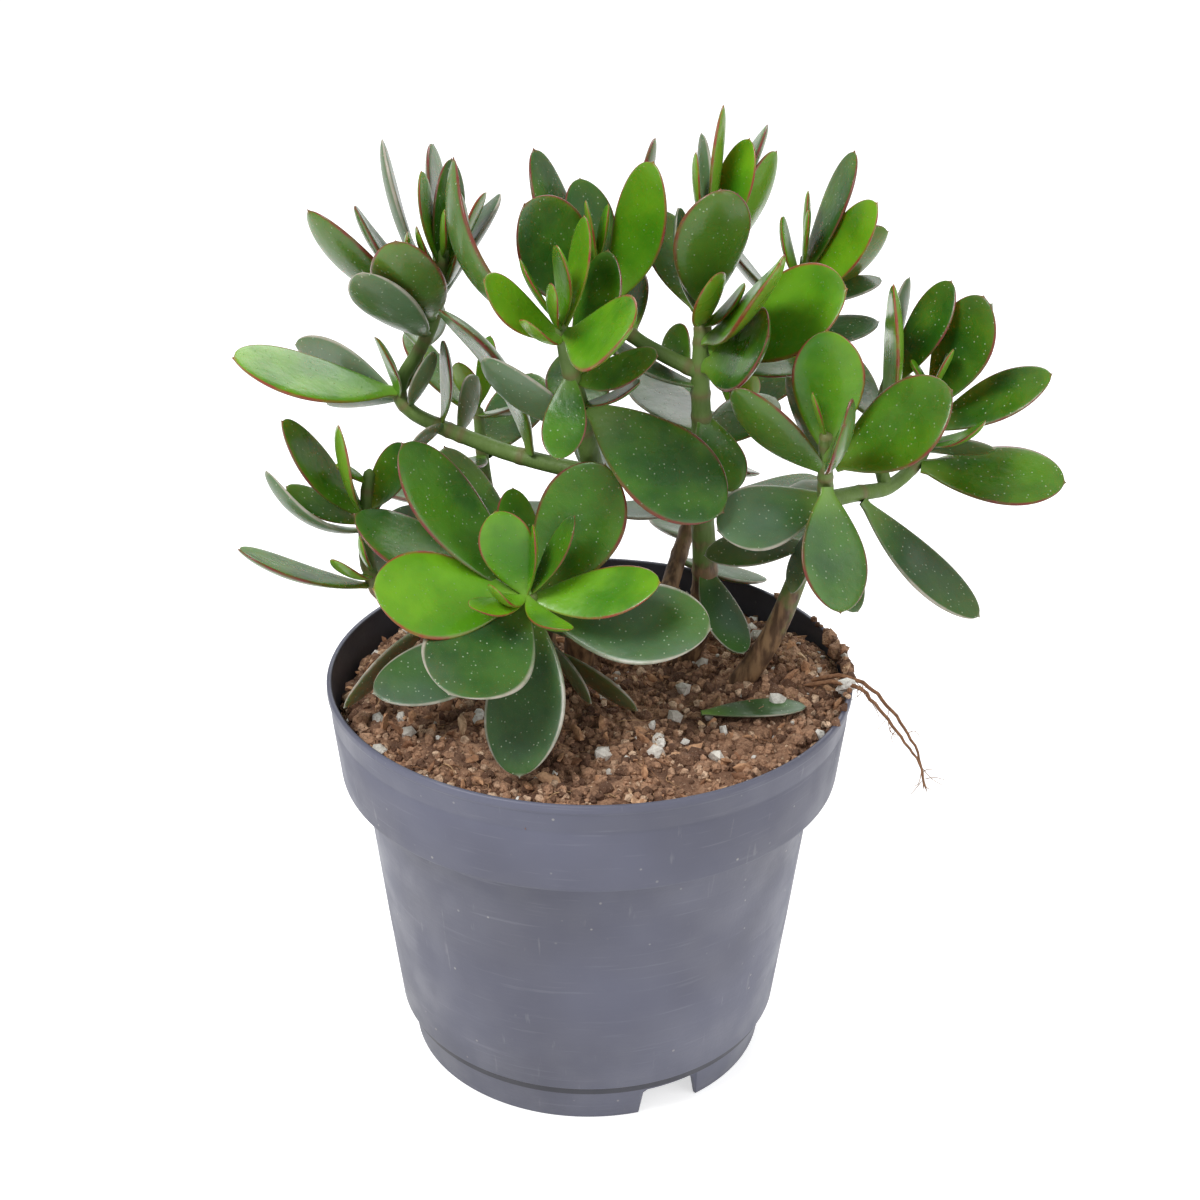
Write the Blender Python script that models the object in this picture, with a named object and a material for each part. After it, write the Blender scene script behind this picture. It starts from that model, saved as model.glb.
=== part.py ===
"""Potted jade plant: a round plastic nursery pot, its soil, ten woody shoots and their fleshy leaves.

Metres, +Z up. The origin is on the pot's axis, at the plane that the pot stands on.
Sizes in the tables below are millimetres and degrees; MM turns them into metres.
"""
import itertools
import math

import bmesh
import bpy
import numpy as np
from mathutils.bvhtree import BVHTree

MM = 0.001
GAP = 0.3                       # clearance between pieces that touch

# Pot: a 17 cm nursery pot with a deep rim band and a foot ring
POT_HEIGHT = 135.0
RIM_RADIUS = 85.0
RIM_BAND_HEIGHT = 32.0
BAND_LOW_RADIUS = 81.5
BODY_TOP_RADIUS = 74.8
BODY_LOW_RADIUS = 64.2
LEDGE_HEIGHT = 15.0
LEDGE_DEPTH = 2.4
FOOT_RADIUS = 59.6
POT_WALL = 1.7
FLOOR_HEIGHT = 10.0             # underside of the pot's floor
FLOOR_THICKNESS = 2.0
PAD_RADIUS = 13.0               # centre foot under the floor
NOTCH_WIDTH = 20.0
NOTCH_HEIGHT = 9.0
NOTCH_TURNS = (-63.0, 57.0, 177.0)
POT_SEGMENTS = 40

# Soil
SOIL_LEVEL = 130.0
SOIL_EDGE_DROP = 3.0
SOIL_RINGS = (0.0, 24.0, 46.0, 62.0, 76.0)
MOUND_HEIGHT = 9.0
MOUND_PLACE = (64.0, 8.0)
MOUND_SPREAD = 15.0

# Leaves
LEAF_ROWS = (0.0, 0.14, 0.34, 0.58, 0.80, 0.94)
LEAF_SECTION = ((-1.0, 0.0), (-0.5, 1.0), (0.5, 1.0), (1.0, 0.0), (0.5, -1.0), (-0.5, -1.0))
SMALL_LEAF_ROWS = (0.0, 0.18, 0.45, 0.72, 0.92)
SMALL_LEAF_SECTION = ((-1.0, 0.0), (0.0, 1.0), (1.0, 0.0), (0.0, -1.0))
LEAF_FULLEST = 1.4              # exponent that puts the widest place at about 60 % of the length
LEAF_NECK = 0.17                # base width over full width
LEAF_CUP = 0.05                 # how far the margins stand above the midline, over the width
UPWARD_PULL = 0.6               # how much a leaf's upper face turns to the sky
SEPARATE_LEAVES = 46            # the largest leaves are nodes of their own; the rest grow on their shoot
STEM_SIDES = 8
STEM_STEP = 9.0
ROOT_DEPTH = 8.0                # how far a rooted shoot goes down into the soil

# Shoots: points from root to tip, radius at the root and at the tip, and the shoot that it springs from
SHOOTS = {
    "trunk": ([(-4, 16, 126), (-2, 6, 165), (1, -6, 206), (-1, -12, 217), (-4, -20, 236),
               (-7, -26, 249), (-9, -26, 261)], 5.5, 2.2, None),
    "tall": ([(30, 16, 127), (37, 12, 153), (35, 8, 191), (34, 5, 220), (33, 3, 236),
              (34, 10, 256), (35, 15, 275)], 5.0, 2.2, None),
    "right": ([(46, -2, 127), (58, -6, 150), (66, -10, 178), (71, -18, 203), (70, -22, 214),
               (69, -26, 228)], 4.5, 2.0, None),
    "low": ([(-23, 3, 126), (-45, -8, 150), (-67, -12, 169), (-70, -8, 189), (-68, -6, 207)],
            3.4, 1.9, None),
    "front": ([(-13, 9, 124), (-13, -8, 143), (-16, -26, 168), (-19, -40, 181)], 4.0, 2.6, None),
    "left": ([(1, -6, 206), (-18, 0, 208), (-38, 5, 213), (-60, 8, 225), (-49, 12, 247),
              (-45, 14, 271)], 2.9, 1.8, "trunk"),
    "crown": ([(33, 3, 236), (16, 8, 243), (4, 12, 253), (1, 14, 268)], 2.6, 1.7, "tall"),
    "spur": ([(33, 3, 236), (49, 14, 239), (63, 24, 250), (66, 28, 266)], 2.6, 1.6, "tall"),
    "far": ([(71, -18, 203), (82, -8, 201), (92, 0, 199), (104, 10, 206), (106, 12, 220),
             (105, 12, 230)], 2.8, 1.7, "right"),
    "back": ([(92, 0, 199), (89, 8, 211), (91, 14, 225), (94, 16, 238)], 2.3, 1.5, "far"),
    "rear_left": ([(-20, 26, 126), (-30, 42, 150), (-36, 52, 182), (-38, 56, 204)], 3.6, 1.8, None),
    "rear_right": ([(22, 36, 126), (30, 52, 150), (40, 60, 180), (48, 62, 200)], 3.8, 1.8, None),
}

# Leaves of each shoot, laid in this order. Each row is:
# height along the shoot, compass turn (0 = +X, 90 = +Y), rise, length, width, roll, bow, age
# age: "y" young and bright, "m" mature, "o" old and blue-grey
LEAVES = {
    "front": [
        (76, -165, 10, 46, 27, -10, 0.05, "y"), (77, 165, 70, 28, 15, -5, 0.06, "y"),
        (74, -120, -15, 44, 31, -5, 0.05, "o"), (67, -95, -50, 53, 26, 20, 0.06, "o"),
        (64, -15, 0, 55, 27, 5, 0.05, "o"), (72, -15, 15, 42, 17, 0, 0.06, "y"),
        (77, -60, 0, 26, 10, -35, 0.10, "y"), (77, -120, 30, 21, 9, 0, 0.15, "y"),
        (77, -135, 12, 25, 10, 20, 0.08, "y"), (77, 60, 80, 22, 8, -60, 0.05, "y"),
        (64, 30, 60, 48, 27, -5, 0.05, "m"), (71, 165, 50, 60, 24, 20, 0.05, "m"),
        (66, 170, 25, 60, 24, 25, 0.05, "m"), (49, -160, -15, 56, 22, -5, 0.05, "o"),
        (74, 15, 60, 29, 12, -35, 0.05, "m"), (62, 10, 20, 56, 22, -25, 0.05, "m"),
        (64, 110, 70, 39, 16, 0, 0.05, "m"), (56, 130, 65, 62, 25, 35, 0.05, "m"),
        (48, -20, -5, 39, 16, -70, 0.0, "o"), (33, -30, -22, 36, 14, -80, 0.0, "o"),
        (41, -55, -25, 29, 13, -85, 0.0, "o"), (59, -160, -10, 34, 14, 0, 0.0, "o"),
    ],
    "low": [
        (66, -160, 25, 45, 18, -30, 0.05, "m"), (87, -165, 55, 42, 17, -30, 0.05, "m"),
        (83, -150, 40, 41, 16, 0, 0.15, "o"), (85, 175, 25, 27, 11, -20, 0.05, "m"),
        (87, -115, 70, 37, 15, -45, 0.06, "y"), (89, -10, 85, 27, 11, 80, 0.06, "m"),
        (68, -125, 35, 22, 9, -10, 0.10, "y"), (70, -100, 55, 19, 8, -70, 0.05, "y"),
        (98, -155, 45, 12, 5, 0, 0.0, "y"), (43, -140, -30, 38, 15, 60, 0.0, "o"),
        (85, 65, 20, 28, 11, -55, 0.0, "o"), (66, 75, 20, 36, 17, 0, 0.05, "o"),
        (45, 110, 15, 34, 16, 0, 0.05, "o"),
    ],
    "trunk": [
        (114, -15, -35, 53, 29, 15, 0.04, "m"), (141, -60, 20, 40, 23, 40, 0.05, "y"),
        (139, -145, 40, 35, 14, -55, 0.08, "y"), (141, 150, 55, 59, 24, 55, 0.20, "m"),
        (144, -125, 85, 24, 13, 75, 0.08, "y"), (142, -95, 45, 25, 10, -75, 0.08, "y"),
        (140, -110, 25, 28, 11, -30, 0.10, "y"), (141, 65, 65, 34, 14, -30, 0.05, "y"),
        (144, 160, 55, 22, 9, 30, 0.05, "y"), (128, -100, -45, 28, 12, -10, 0.08, "m"),
        (124, -30, 25, 31, 13, 20, 0.05, "m"), (114, -40, 5, 26, 10, -5, 0.05, "m"),
        (124, 60, 60, 40, 16, -15, 0.05, "m"), (104, -160, 40, 41, 16, 60, 0.08, "o"),
        (106, 95, 15, 40, 19, 0, 0.05, "m"), (78, 80, 10, 42, 20, 0, 0.05, "o"),
    ],
    "tall": [
        (119, -25, 30, 51, 29, 60, 0.04, "y"), (113, -65, 30, 46, 24, 70, 0.06, "m"),
        (121, -50, 40, 59, 22, 55, 0.05, "y"), (131, -80, 70, 45, 23, 20, 0.04, "m"),
        (145, 25, 70, 38, 15, 40, 0.05, "y"), (127, -90, 60, 38, 15, 80, 0.05, "y"),
        (125, -60, 40, 28, 11, 50, 0.05, "y"), (153, 60, 80, 39, 16, 5, 0.0, "y"),
        (151, -130, 75, 29, 11, -60, 0.05, "y"), (141, 40, 55, 43, 17, -70, 0.05, "y"),
        (127, -155, 75, 37, 15, -70, 0.05, "o"), (147, 50, 50, 44, 18, -50, 0.0, "m"),
        (143, 95, 60, 41, 16, 85, 0.0, "o"), (106, -175, 55, 41, 17, 5, 0.08, "o"),
        (97, -55, -50, 27, 16, -5, 0.05, "m"), (42, -60, -40, 33, 14, -5, 0.05, "o"),
        (33, -55, -62, 25, 11, -80, 0.0, "o"), (85, 40, 15, 33, 17, 15, 0.0, "m"),
        (130, 110, 35, 42, 20, 0, 0.05, "m"), (90, 120, 10, 40, 19, 0, 0.05, "o"),
    ],
    "crown": [
        (37, -150, 55, 45, 25, -70, 0.04, "m"), (38, -20, 75, 47, 20, 70, 0.04, "y"),
        (37, 150, 65, 52, 21, 0, 0.04, "m"), (35, 50, 65, 50, 20, 25, 0.0, "y"),
        (43, 110, 55, 34, 15, -5, 0.0, "m"), (34, 70, 55, 58, 23, -50, 0.0, "m"),
        (46, -130, 75, 25, 10, -80, 0.0, "y"), (49, 5, 80, 19, 7, 30, 0.0, "y"),
        (4, 145, 25, 17, 12, 0, 0.0, "m"), (24, 100, 15, 38, 18, 0, 0.05, "m"),
    ],
    "spur": [
        (42, -25, 55, 42, 17, 70, 0.05, "y"), (49, 30, 65, 42, 17, 5, 0.04, "m"),
        (48, -135, 65, 25, 10, -65, 0.05, "y"), (53, -90, 70, 21, 8, -85, 0.0, "y"),
        (55, 85, 75, 21, 8, 40, 0.0, "y"), (41, 35, 25, 41, 16, -70, 0.0, "m"),
        (40, 30, 8, 33, 14, 20, 0.0, "o"), (26, 10, 5, 37, 15, 30, 0.04, "o"),
        (8, -5, 0, 29, 13, 55, 0.0, "m"), (38, 125, 25, 38, 18, 0, 0.05, "m"),
    ],
    "right": [
        (97, -15, 40, 44, 26, 30, 0.04, "m"), (102, 120, 85, 37, 20, 0, 0.05, "y"),
        (103, -90, 35, 41, 21, 80, 0.05, "m"), (90, -80, -55, 40, 22, -30, 0.05, "m"),
        (94, -165, 45, 42, 17, 60, 0.06, "m"), (84, -160, -10, 36, 21, -20, 0.05, "o"),
        (107, -155, 70, 16, 6, 5, 0.0, "y"), (73, -30, -60, 31, 14, 10, 0.0, "o"),
        (75, -140, -65, 25, 10, 40, 0.0, "o"), (64, -175, -5, 33, 13, -10, 0.0, "o"),
        (93, 130, 55, 32, 13, 85, 0.0, "o"), (79, 125, 30, 40, 19, -5, 0.0, "m"),
        (58, 80, 15, 40, 19, 0, 0.05, "o"),
    ],
    "far": [
        (27, -50, 15, 33, 22, 80, 0.06, "y"), (42, -15, 0, 46, 23, 65, 0.04, "m"),
        (54, -10, 30, 42, 17, 35, 0.04, "m"), (61, 0, 70, 39, 19, 45, 0.04, "m"),
        (54, 15, 25, 43, 19, -75, 0.05, "o"), (16, -20, -40, 53, 21, 60, 0.05, "o"),
        (50, -55, 30, 28, 11, 30, 0.10, "y"), (67, -150, 75, 14, 6, -40, 0.0, "y"),
        (66, -50, 65, 18, 7, 25, 0.0, "y"), (47, -35, 15, 25, 10, -35, 0.0, "o"),
        (60, 40, 50, 39, 16, -80, 0.0, "o"), (42, -5, -20, 40, 16, -40, 0.0, "o"),
        (26, 50, -50, 27, 11, -20, 0.0, "o"), (46, 95, 20, 40, 19, 0, 0.05, "m"),
    ],
    "back": [
        (14, -95, 88, 54, 21, 70, 0.04, "y"), (32, 20, 65, 39, 16, 15, 0.04, "m"),
        (30, 65, 70, 38, 15, -80, 0.0, "o"), (42, -135, 80, 18, 7, -45, 0.0, "y"),
        (22, 110, 20, 40, 19, 0, 0.05, "m"),
    ],
    "left": [
        (68, -155, 30, 55, 22, -20, 0.05, "y"), (89, -115, 40, 47, 19, 20, 0.08, "o"),
        (96, -165, 45, 50, 20, 25, 0.08, "m"), (95, -135, 40, 50, 20, 15, 0.08, "m"),
        (68, -145, 15, 45, 18, 45, 0.22, "m"), (101, -145, 50, 42, 17, -20, 0.08, "m"),
        (104, 160, 65, 47, 19, 35, 0.05, "o"), (110, 175, 80, 30, 12, -20, 0.05, "y"),
        (102, -65, 65, 40, 16, 75, 0.12, "m"), (108, 95, 45, 46, 18, 60, 0.0, "m"),
        (101, -105, 45, 35, 14, -65, 0.05, "y"), (108, -110, 45, 26, 11, -50, 0.05, "y"),
        (113, -80, 60, 20, 8, -80, 0.0, "y"), (106, 110, 50, 37, 15, 70, 0.0, "m"),
        (103, 60, 45, 35, 14, -55, 0.0, "y"), (100, 65, 30, 47, 19, -60, 0.0, "o"),
        (66, -115, 60, 28, 11, 75, 0.05, "y"), (67, -180, 40, 27, 11, 5, 0.05, "y"),
        (22, -155, 60, 59, 24, 70, 0.10, "m"), (51, -70, 80, 29, 12, 35, 0.05, "m"),
        (62, -60, 55, 27, 11, -5, 0.05, "o"), (50, -125, -5, 20, 8, 30, 0.0, "o"),
        (66, 150, 15, 41, 16, 80, 0.0, "o"), (66, 150, -15, 29, 11, 55, 0.0, "o"),
        (66, 65, 65, 20, 8, 15, 0.0, "m"), (45, 75, 30, 23, 11, -65, 0.0, "o"),
        (84, 100, 15, 40, 19, 0, 0.05, "o"),
    ],
    "rear_left": [
        (88, 60, 70, 24, 10, 0, 0.05, "y"), (88, -120, 60, 22, 9, 0, 0.05, "y"),
        (84, 150, 40, 38, 18, 0, 0.05, "m"), (84, -30, 25, 34, 16, 0, 0.05, "m"),
        (70, 70, 20, 46, 22, 0, 0.05, "m"), (70, -110, 15, 34, 16, 0, 0.05, "m"),
        (54, 160, 5, 46, 22, 0, 0.05, "m"), (54, -20, 5, 38, 18, 0, 0.05, "o"),
        (40, 80, -10, 44, 21, 0, 0.05, "o"), (32, 150, -20, 36, 18, 0, 0.05, "o"),
    ],
    "rear_right": [
        (86, 120, 70, 24, 10, 0, 0.05, "y"), (86, -60, 60, 20, 9, 0, 0.05, "y"),
        (82, 30, 35, 38, 18, 0, 0.05, "m"), (82, -150, 25, 34, 16, 0, 0.05, "m"),
        (68, 110, 20, 46, 22, 0, 0.05, "m"), (68, -70, 10, 30, 14, 0, 0.05, "m"),
        (52, 20, 5, 44, 21, 0, 0.05, "m"), (52, -160, 0, 34, 16, 0, 0.05, "o"),
        (38, 90, -12, 44, 21, 0, 0.05, "o"), (30, 20, -22, 38, 18, 0, 0.05, "o"),
    ],
}

# A shed leaf that lies on the soil: centre, turn, length, width
FALLEN_LEAF = ((52.0, -22.0), 8.0, 34.0, 12.0)
REST_GAP = 0.8                  # between its midline and the soil's facets

# How far a leaf may turn aside to clear the leaves laid before it, in degrees
ROLL_CHANGES = (0, 12, -12, 24, -24, 40, -40)
RISE_CHANGES = (0, 5, -5, 10, -10, 16, -16, 24, -24)
TURN_CHANGES = (0, 5, -5, 10, -10, 16, -16, 24, -24, 34, -34)
ROLL_EASE = 0.4                 # a change of roll counts for less than a change of direction

COLOURS = {
    "pot": (0.16, 0.16, 0.19), "soil": (0.16, 0.09, 0.06), "stem": (0.22, 0.14, 0.09),
    "y": (0.20, 0.38, 0.03), "m": (0.06, 0.16, 0.03), "o": (0.16, 0.24, 0.16),
}


# ---------------------------------------------------------------- vectors and shoots

def unit(vector):
    """The vector at length 1."""
    return vector / np.linalg.norm(vector)


def heading(turn, rise):
    """Unit vector at a compass turn and a rise above level, in degrees."""
    turn, rise = math.radians(turn), math.radians(rise)
    return np.array([math.cos(turn) * math.cos(rise), math.sin(turn) * math.cos(rise), math.sin(rise)])


def turned(vector, axis, degrees):
    """The vector turned about a unit axis."""
    angle = math.radians(degrees)
    return (vector * math.cos(angle) + np.cross(axis, vector) * math.sin(angle)
            + axis * axis.dot(vector) * (1 - math.cos(angle)))


def stem_shape(shoot, extra=0.0):
    """A shoot's bare stem; one that springs from the soil goes down into it by ROOT_DEPTH."""
    points, root_radius, tip_radius, parent = SHOOTS[shoot]
    route = shoot_route(points)
    if parent is None:
        route = np.vstack([route[0] - (0, 0, ROOT_DEPTH), route])
    return tube(route, root_radius, tip_radius, extra)


def shoot_route(points):
    """Smooth route through a shoot's points: a Catmull-Rom curve, read about every STEM_STEP."""
    points = np.array(points, float)
    ends = np.vstack([2 * points[0] - points[1], points, 2 * points[-1] - points[-2]])
    route = []
    for a, b, c, d in zip(ends, ends[1:], ends[2:], ends[3:]):
        count = max(1, round(np.linalg.norm(c - b) / STEM_STEP))
        t = (np.arange(count) / count)[:, None]
        route.append(0.5 * (2 * b + (c - a) * t + (2 * a - 5 * b + 4 * c - d) * t**2
                            + (3 * b - a - 3 * c + d) * t**3))
    return np.vstack(route + [points[-1:]])


def along(points, height):
    """The place on the straight lines through a shoot's points at a height along it, and the heading."""
    points = np.array(points, float)
    runs = np.linalg.norm(np.diff(points, axis=0), axis=1)
    marks = np.concatenate([[0.0], np.cumsum(runs)])
    height = min(height, marks[-1])
    i = min(int(np.searchsorted(marks, height, side="right")) - 1, len(runs) - 1)
    step = points[i + 1] - points[i]
    return points[i] + step * (height - marks[i]) / runs[i], unit(step), height / marks[-1]


# ---------------------------------------------------------------- shapes, as points and faces in millimetres

def tube(route, root_radius, tip_radius, extra=0.0):
    """Round bar along a route, tapering from its root to a blunt tip."""
    ahead = np.gradient(route, axis=0)
    ahead /= np.linalg.norm(ahead, axis=1)[:, None]
    route = np.vstack([route, route[-1] + ahead[-1] * 1.6])
    ahead = np.vstack([ahead, ahead[-1:]])
    radii = np.linspace(root_radius, tip_radius, len(route)) + extra
    radii[-1] *= 0.6
    side = np.cross(ahead, (1.0, 0.0, 0.0))
    side /= np.linalg.norm(side, axis=1)[:, None]
    across = np.cross(ahead, side)
    angles = np.linspace(0, 2 * math.pi, STEM_SIDES, endpoint=False)
    ring = (np.cos(angles)[None, :, None] * side[:, None] + np.sin(angles)[None, :, None] * across[:, None])
    verts = (route[:, None] + ring * radii[:, None, None]).reshape(-1, 3)
    return verts, ring_faces(len(route), STEM_SIDES)


def ring_faces(rows, sides):
    """Faces of a closed bar of rings, with flat caps, turned outward."""
    faces = []
    for row, k in itertools.product(range(rows - 1), range(sides)):
        a, b = row * sides + k, row * sides + (k + 1) % sides
        faces.append((a, b, b + sides, a + sides))
    faces.append(tuple(range(sides))[::-1])
    faces.append(tuple(range((rows - 1) * sides, rows * sides)))
    return faces


def leaf_width(u):
    """Width at u along the leaf, over its full width: narrow neck, widest past the middle, round end."""
    return np.maximum(LEAF_NECK, np.sin(math.pi * np.clip(u, 0, 1) ** LEAF_FULLEST) ** 0.75)


def leaf_thickness(width):
    """Thickness of a leaf at its midline."""
    return min(max(0.2 * width, 2.2), 4.4)


def leaf_shape(base, ahead, up, length, width, bow, extra=0.0, small=False):
    """Fleshy leaf: lens sections along a bowed midline, closed by a tip point."""
    side = np.cross(ahead, up)
    thick = leaf_thickness(width) + 2 * extra
    section = SMALL_LEAF_SECTION if small else LEAF_SECTION
    u = np.array(SMALL_LEAF_ROWS if small else LEAF_ROWS)
    half = (width / 2 * leaf_width(u) + extra)[:, None]
    rise = thick / 2 * (0.55 + 0.45 * leaf_width(u))[:, None]
    cup = LEAF_CUP * half * 2
    middle = base + np.outer(u * length, ahead) - np.outer(bow * length * 4 * u * (1 - u), up)
    corners = [middle + half * s * side + (rise * t + cup * (1 if t == 0 else 0)) * up
               for s, t in section]
    verts = np.stack(corners, axis=1).reshape(-1, 3)
    verts = np.vstack([verts, base + ahead * (length + extra)])
    rows, sides, tip = len(u), len(section), len(u) * len(section)
    faces = ring_faces(rows, sides)[:-1]
    last = (rows - 1) * sides
    faces += [(last + k, last + (k + 1) % sides, tip) for k in range(sides)]
    return verts, faces


# ---------------------------------------------------------------- laying the leaves

def bumped(shape_a, shape_b):
    """Whether two trees of faces cross."""
    return bool(shape_a.overlap(shape_b))


def tree(shape):
    """Search tree over a shape's faces."""
    verts, faces = shape
    return BVHTree.FromPolygons(verts.tolist(), faces)


def spread(shape):
    """Centre and radius of a ball round a shape."""
    centre = shape[0].mean(axis=0)
    return centre, np.linalg.norm(shape[0] - centre, axis=1).max()


class Leaf:
    """One leaf: its row in LEAVES, its seat on the shoot, and the attitude it was laid at."""

    def __init__(self, shoot, index, row, separate):
        self.shoot, self.name = shoot, f"leaf_{shoot}_{index:02d}"
        self.height, self.turn, self.rise, self.length, self.width, self.roll, self.bow, self.age = row
        self.separate = separate
        points, root_radius, tip_radius, _ = SHOOTS[shoot]
        self.seat, self.stem_ahead, share = along(points, self.height)
        self.stem_radius = root_radius + (tip_radius - root_radius) * share

    def axes(self, changes=(0, 0, 0)):
        """Base, heading, upper-face direction and length, with the given changes of attitude."""
        d_roll, d_rise, d_turn = changes
        ahead = heading(self.turn + d_turn, self.rise + d_rise)
        sky = unit(self.stem_ahead + np.array([0, 0, UPWARD_PULL]))
        up = unit(sky - sky.dot(ahead) * ahead)
        up = turned(up, ahead, self.roll + d_roll)
        base, length = self.seat, self.length
        if self.separate:
            lean = ahead.dot(self.stem_ahead)
            away = unit(ahead - lean * self.stem_ahead)
            reach = self.stem_radius + GAP + 0.4 * leaf_thickness(self.width) * abs(lean)
            base = self.seat + away * reach
            length = self.length - self.stem_radius
        return base, ahead, up, length

    def solid(self, changes=(0, 0, 0), extra=0.0):
        """The leaf's closed shape."""
        base, ahead, up, length = self.axes(changes)
        return leaf_shape(base, ahead, up, length, self.width, self.bow, extra, not self.separate)

    def blade(self, changes=(0, 0, 0), extra=0.0):
        """The leaf's shape without its neck, for leaves that spring from one stem."""
        base, ahead, up, length = self.axes(changes)
        neck = 0.25 * length
        start = base + ahead * neck
        return leaf_shape(start, ahead, up, length - neck, self.width, self.bow, extra, not self.separate)


def leaf_rows():
    """Every leaf, with the largest ones marked as separate."""
    areas = sorted((row[3] * row[4] for rows in LEAVES.values() for row in rows), reverse=True)
    least = areas[SEPARATE_LEAVES - 1]
    leaves = []
    for shoot, rows in LEAVES.items():
        for index, row in enumerate(rows, 1):
            large = row[3] * row[4] >= least and sum(leaf.separate for leaf in leaves) < SEPARATE_LEAVES
            leaves.append(Leaf(shoot, index, row, large))
    return leaves


def attitude_changes():
    """Every change of roll, rise and turn that a leaf may try, smallest first."""
    tries = itertools.product(ROLL_CHANGES, RISE_CHANGES, TURN_CHANGES)
    return sorted(tries, key=lambda c: (ROLL_EASE * abs(c[0]) + abs(c[1]) + abs(c[2])))


def lay_leaves(stems):
    """Lay each leaf in turn at the attitude nearest to its row that clears every piece before it.

    A leaf with no room in its range is left off.
    """
    changes = attitude_changes()
    laid = []
    for leaf in leaf_rows():
        centre, radius = spread(leaf.solid())
        reach = radius + 0.35 * leaf.length
        near = [entry for entry in laid if np.linalg.norm(entry[1] - centre) < reach + entry[2]]
        for change in changes:
            if clears(leaf, change, near, stems):
                break
        else:
            continue
        leaf.changes = change
        solid = leaf.solid(change)
        laid.append((leaf, *spread(solid), tree(solid), tree(leaf.blade(change))))
    return [entry[0] for entry in laid]


def ground(x, y):
    """Lowest height allowed to a leaf: just over the soil, over the rim, or free outside the pot."""
    out = math.hypot(x, y)
    if out > RIM_RADIUS + 2:
        return 0.0
    return (POT_HEIGHT if out > SOIL_RINGS[-1] else soil_height(x, y)) + 2 * GAP


def clears(leaf, change, near, stems):
    """Whether a leaf at this attitude clears the stems, the soil and the leaves laid near it."""
    full, blade = tree(leaf.solid(change, GAP)), tree(leaf.blade(change, GAP))
    if any(z < ground(x, y) for x, y, z in leaf.solid(change)[0]):
        return False
    for name, stem in stems.items():
        if bumped(stem, blade if name == leaf.shoot and not leaf.separate else full):
            return False
    for other, _, _, other_full, other_blade in near:
        kin = other.shoot == leaf.shoot and not (other.separate or leaf.separate)
        if bumped(blade, other_blade) if kin else bumped(full, other_full):
            return False
    return True


# ---------------------------------------------------------------- Blender objects

def material(name, colour, roughness):
    """Plain Principled material."""
    made = bpy.data.materials.new(name)
    made.use_nodes = True
    shader = made.node_tree.nodes["Principled BSDF"]
    shader.inputs["Base Color"].default_value = (*colour, 1.0)
    shader.inputs["Roughness"].default_value = roughness
    shader.inputs["Metallic"].default_value = 0.0
    return made


def add_object(name, shape, finish=None):
    """Object from a shape in millimetres, smooth, with its normals turned outward."""
    verts, faces = shape
    mesh = bpy.data.meshes.new(name)
    mesh.from_pydata((np.asarray(verts) * MM).tolist(), [], faces)
    edit = bmesh.new()
    edit.from_mesh(mesh)
    bmesh.ops.recalc_face_normals(edit, faces=edit.faces)
    edit.to_mesh(mesh)
    edit.free()
    mesh.shade_smooth()
    thing = bpy.data.objects.new(name, mesh)
    bpy.context.scene.collection.objects.link(thing)
    if finish:
        mesh.materials.append(finish)
    return thing


def combine(target, tool, operation):
    """Apply an exact Boolean of the tool to the target, and remove the tool."""
    modifier = target.modifiers.new(operation.lower(), "BOOLEAN")
    modifier.operation = operation
    modifier.solver = "EXACT"
    modifier.object = tool
    bpy.context.view_layer.update()
    evaluated = target.evaluated_get(bpy.context.evaluated_depsgraph_get())
    mesh = bpy.data.meshes.new_from_object(evaluated)
    target.modifiers.clear()
    old = target.data
    target.data = mesh
    bpy.data.meshes.remove(old)
    bpy.data.objects.remove(tool)


def turned_body(name, outline, finish):
    """Body turned about Z from a closed outline of (radius, height); points at radius 0 are poles."""
    verts, rings, faces = [], [], []
    for radius, height in outline:
        if radius == 0:
            rings.append([len(verts)])
            verts.append((0.0, 0.0, height))
            continue
        rings.append(list(range(len(verts), len(verts) + POT_SEGMENTS)))
        for k in range(POT_SEGMENTS):
            angle = 2 * math.pi * k / POT_SEGMENTS
            verts.append((radius * math.cos(angle), radius * math.sin(angle), height))
    for low, high in zip(rings, rings[1:]):
        for k in range(POT_SEGMENTS):
            nxt = (k + 1) % POT_SEGMENTS
            if len(low) == 1:
                faces.append((low[0], high[k], high[nxt]))
            elif len(high) == 1:
                faces.append((low[nxt], low[k], high[0]))
            else:
                faces.append((low[k], high[k], high[nxt], low[nxt]))
    return add_object(name, (verts, faces), finish)


def inner_wall(inset):
    """The pot's inner wall from the floor up, as (radius, height), moved in by inset."""
    band_low = POT_HEIGHT - RIM_BAND_HEIGHT
    return [(BODY_LOW_RADIUS - POT_WALL - inset, FLOOR_HEIGHT + FLOOR_THICKNESS + inset),
            (BODY_TOP_RADIUS - POT_WALL - inset, band_low + POT_WALL - 4.0 + inset),
            (BAND_LOW_RADIUS - POT_WALL - inset, band_low + POT_WALL + inset)]


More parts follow.
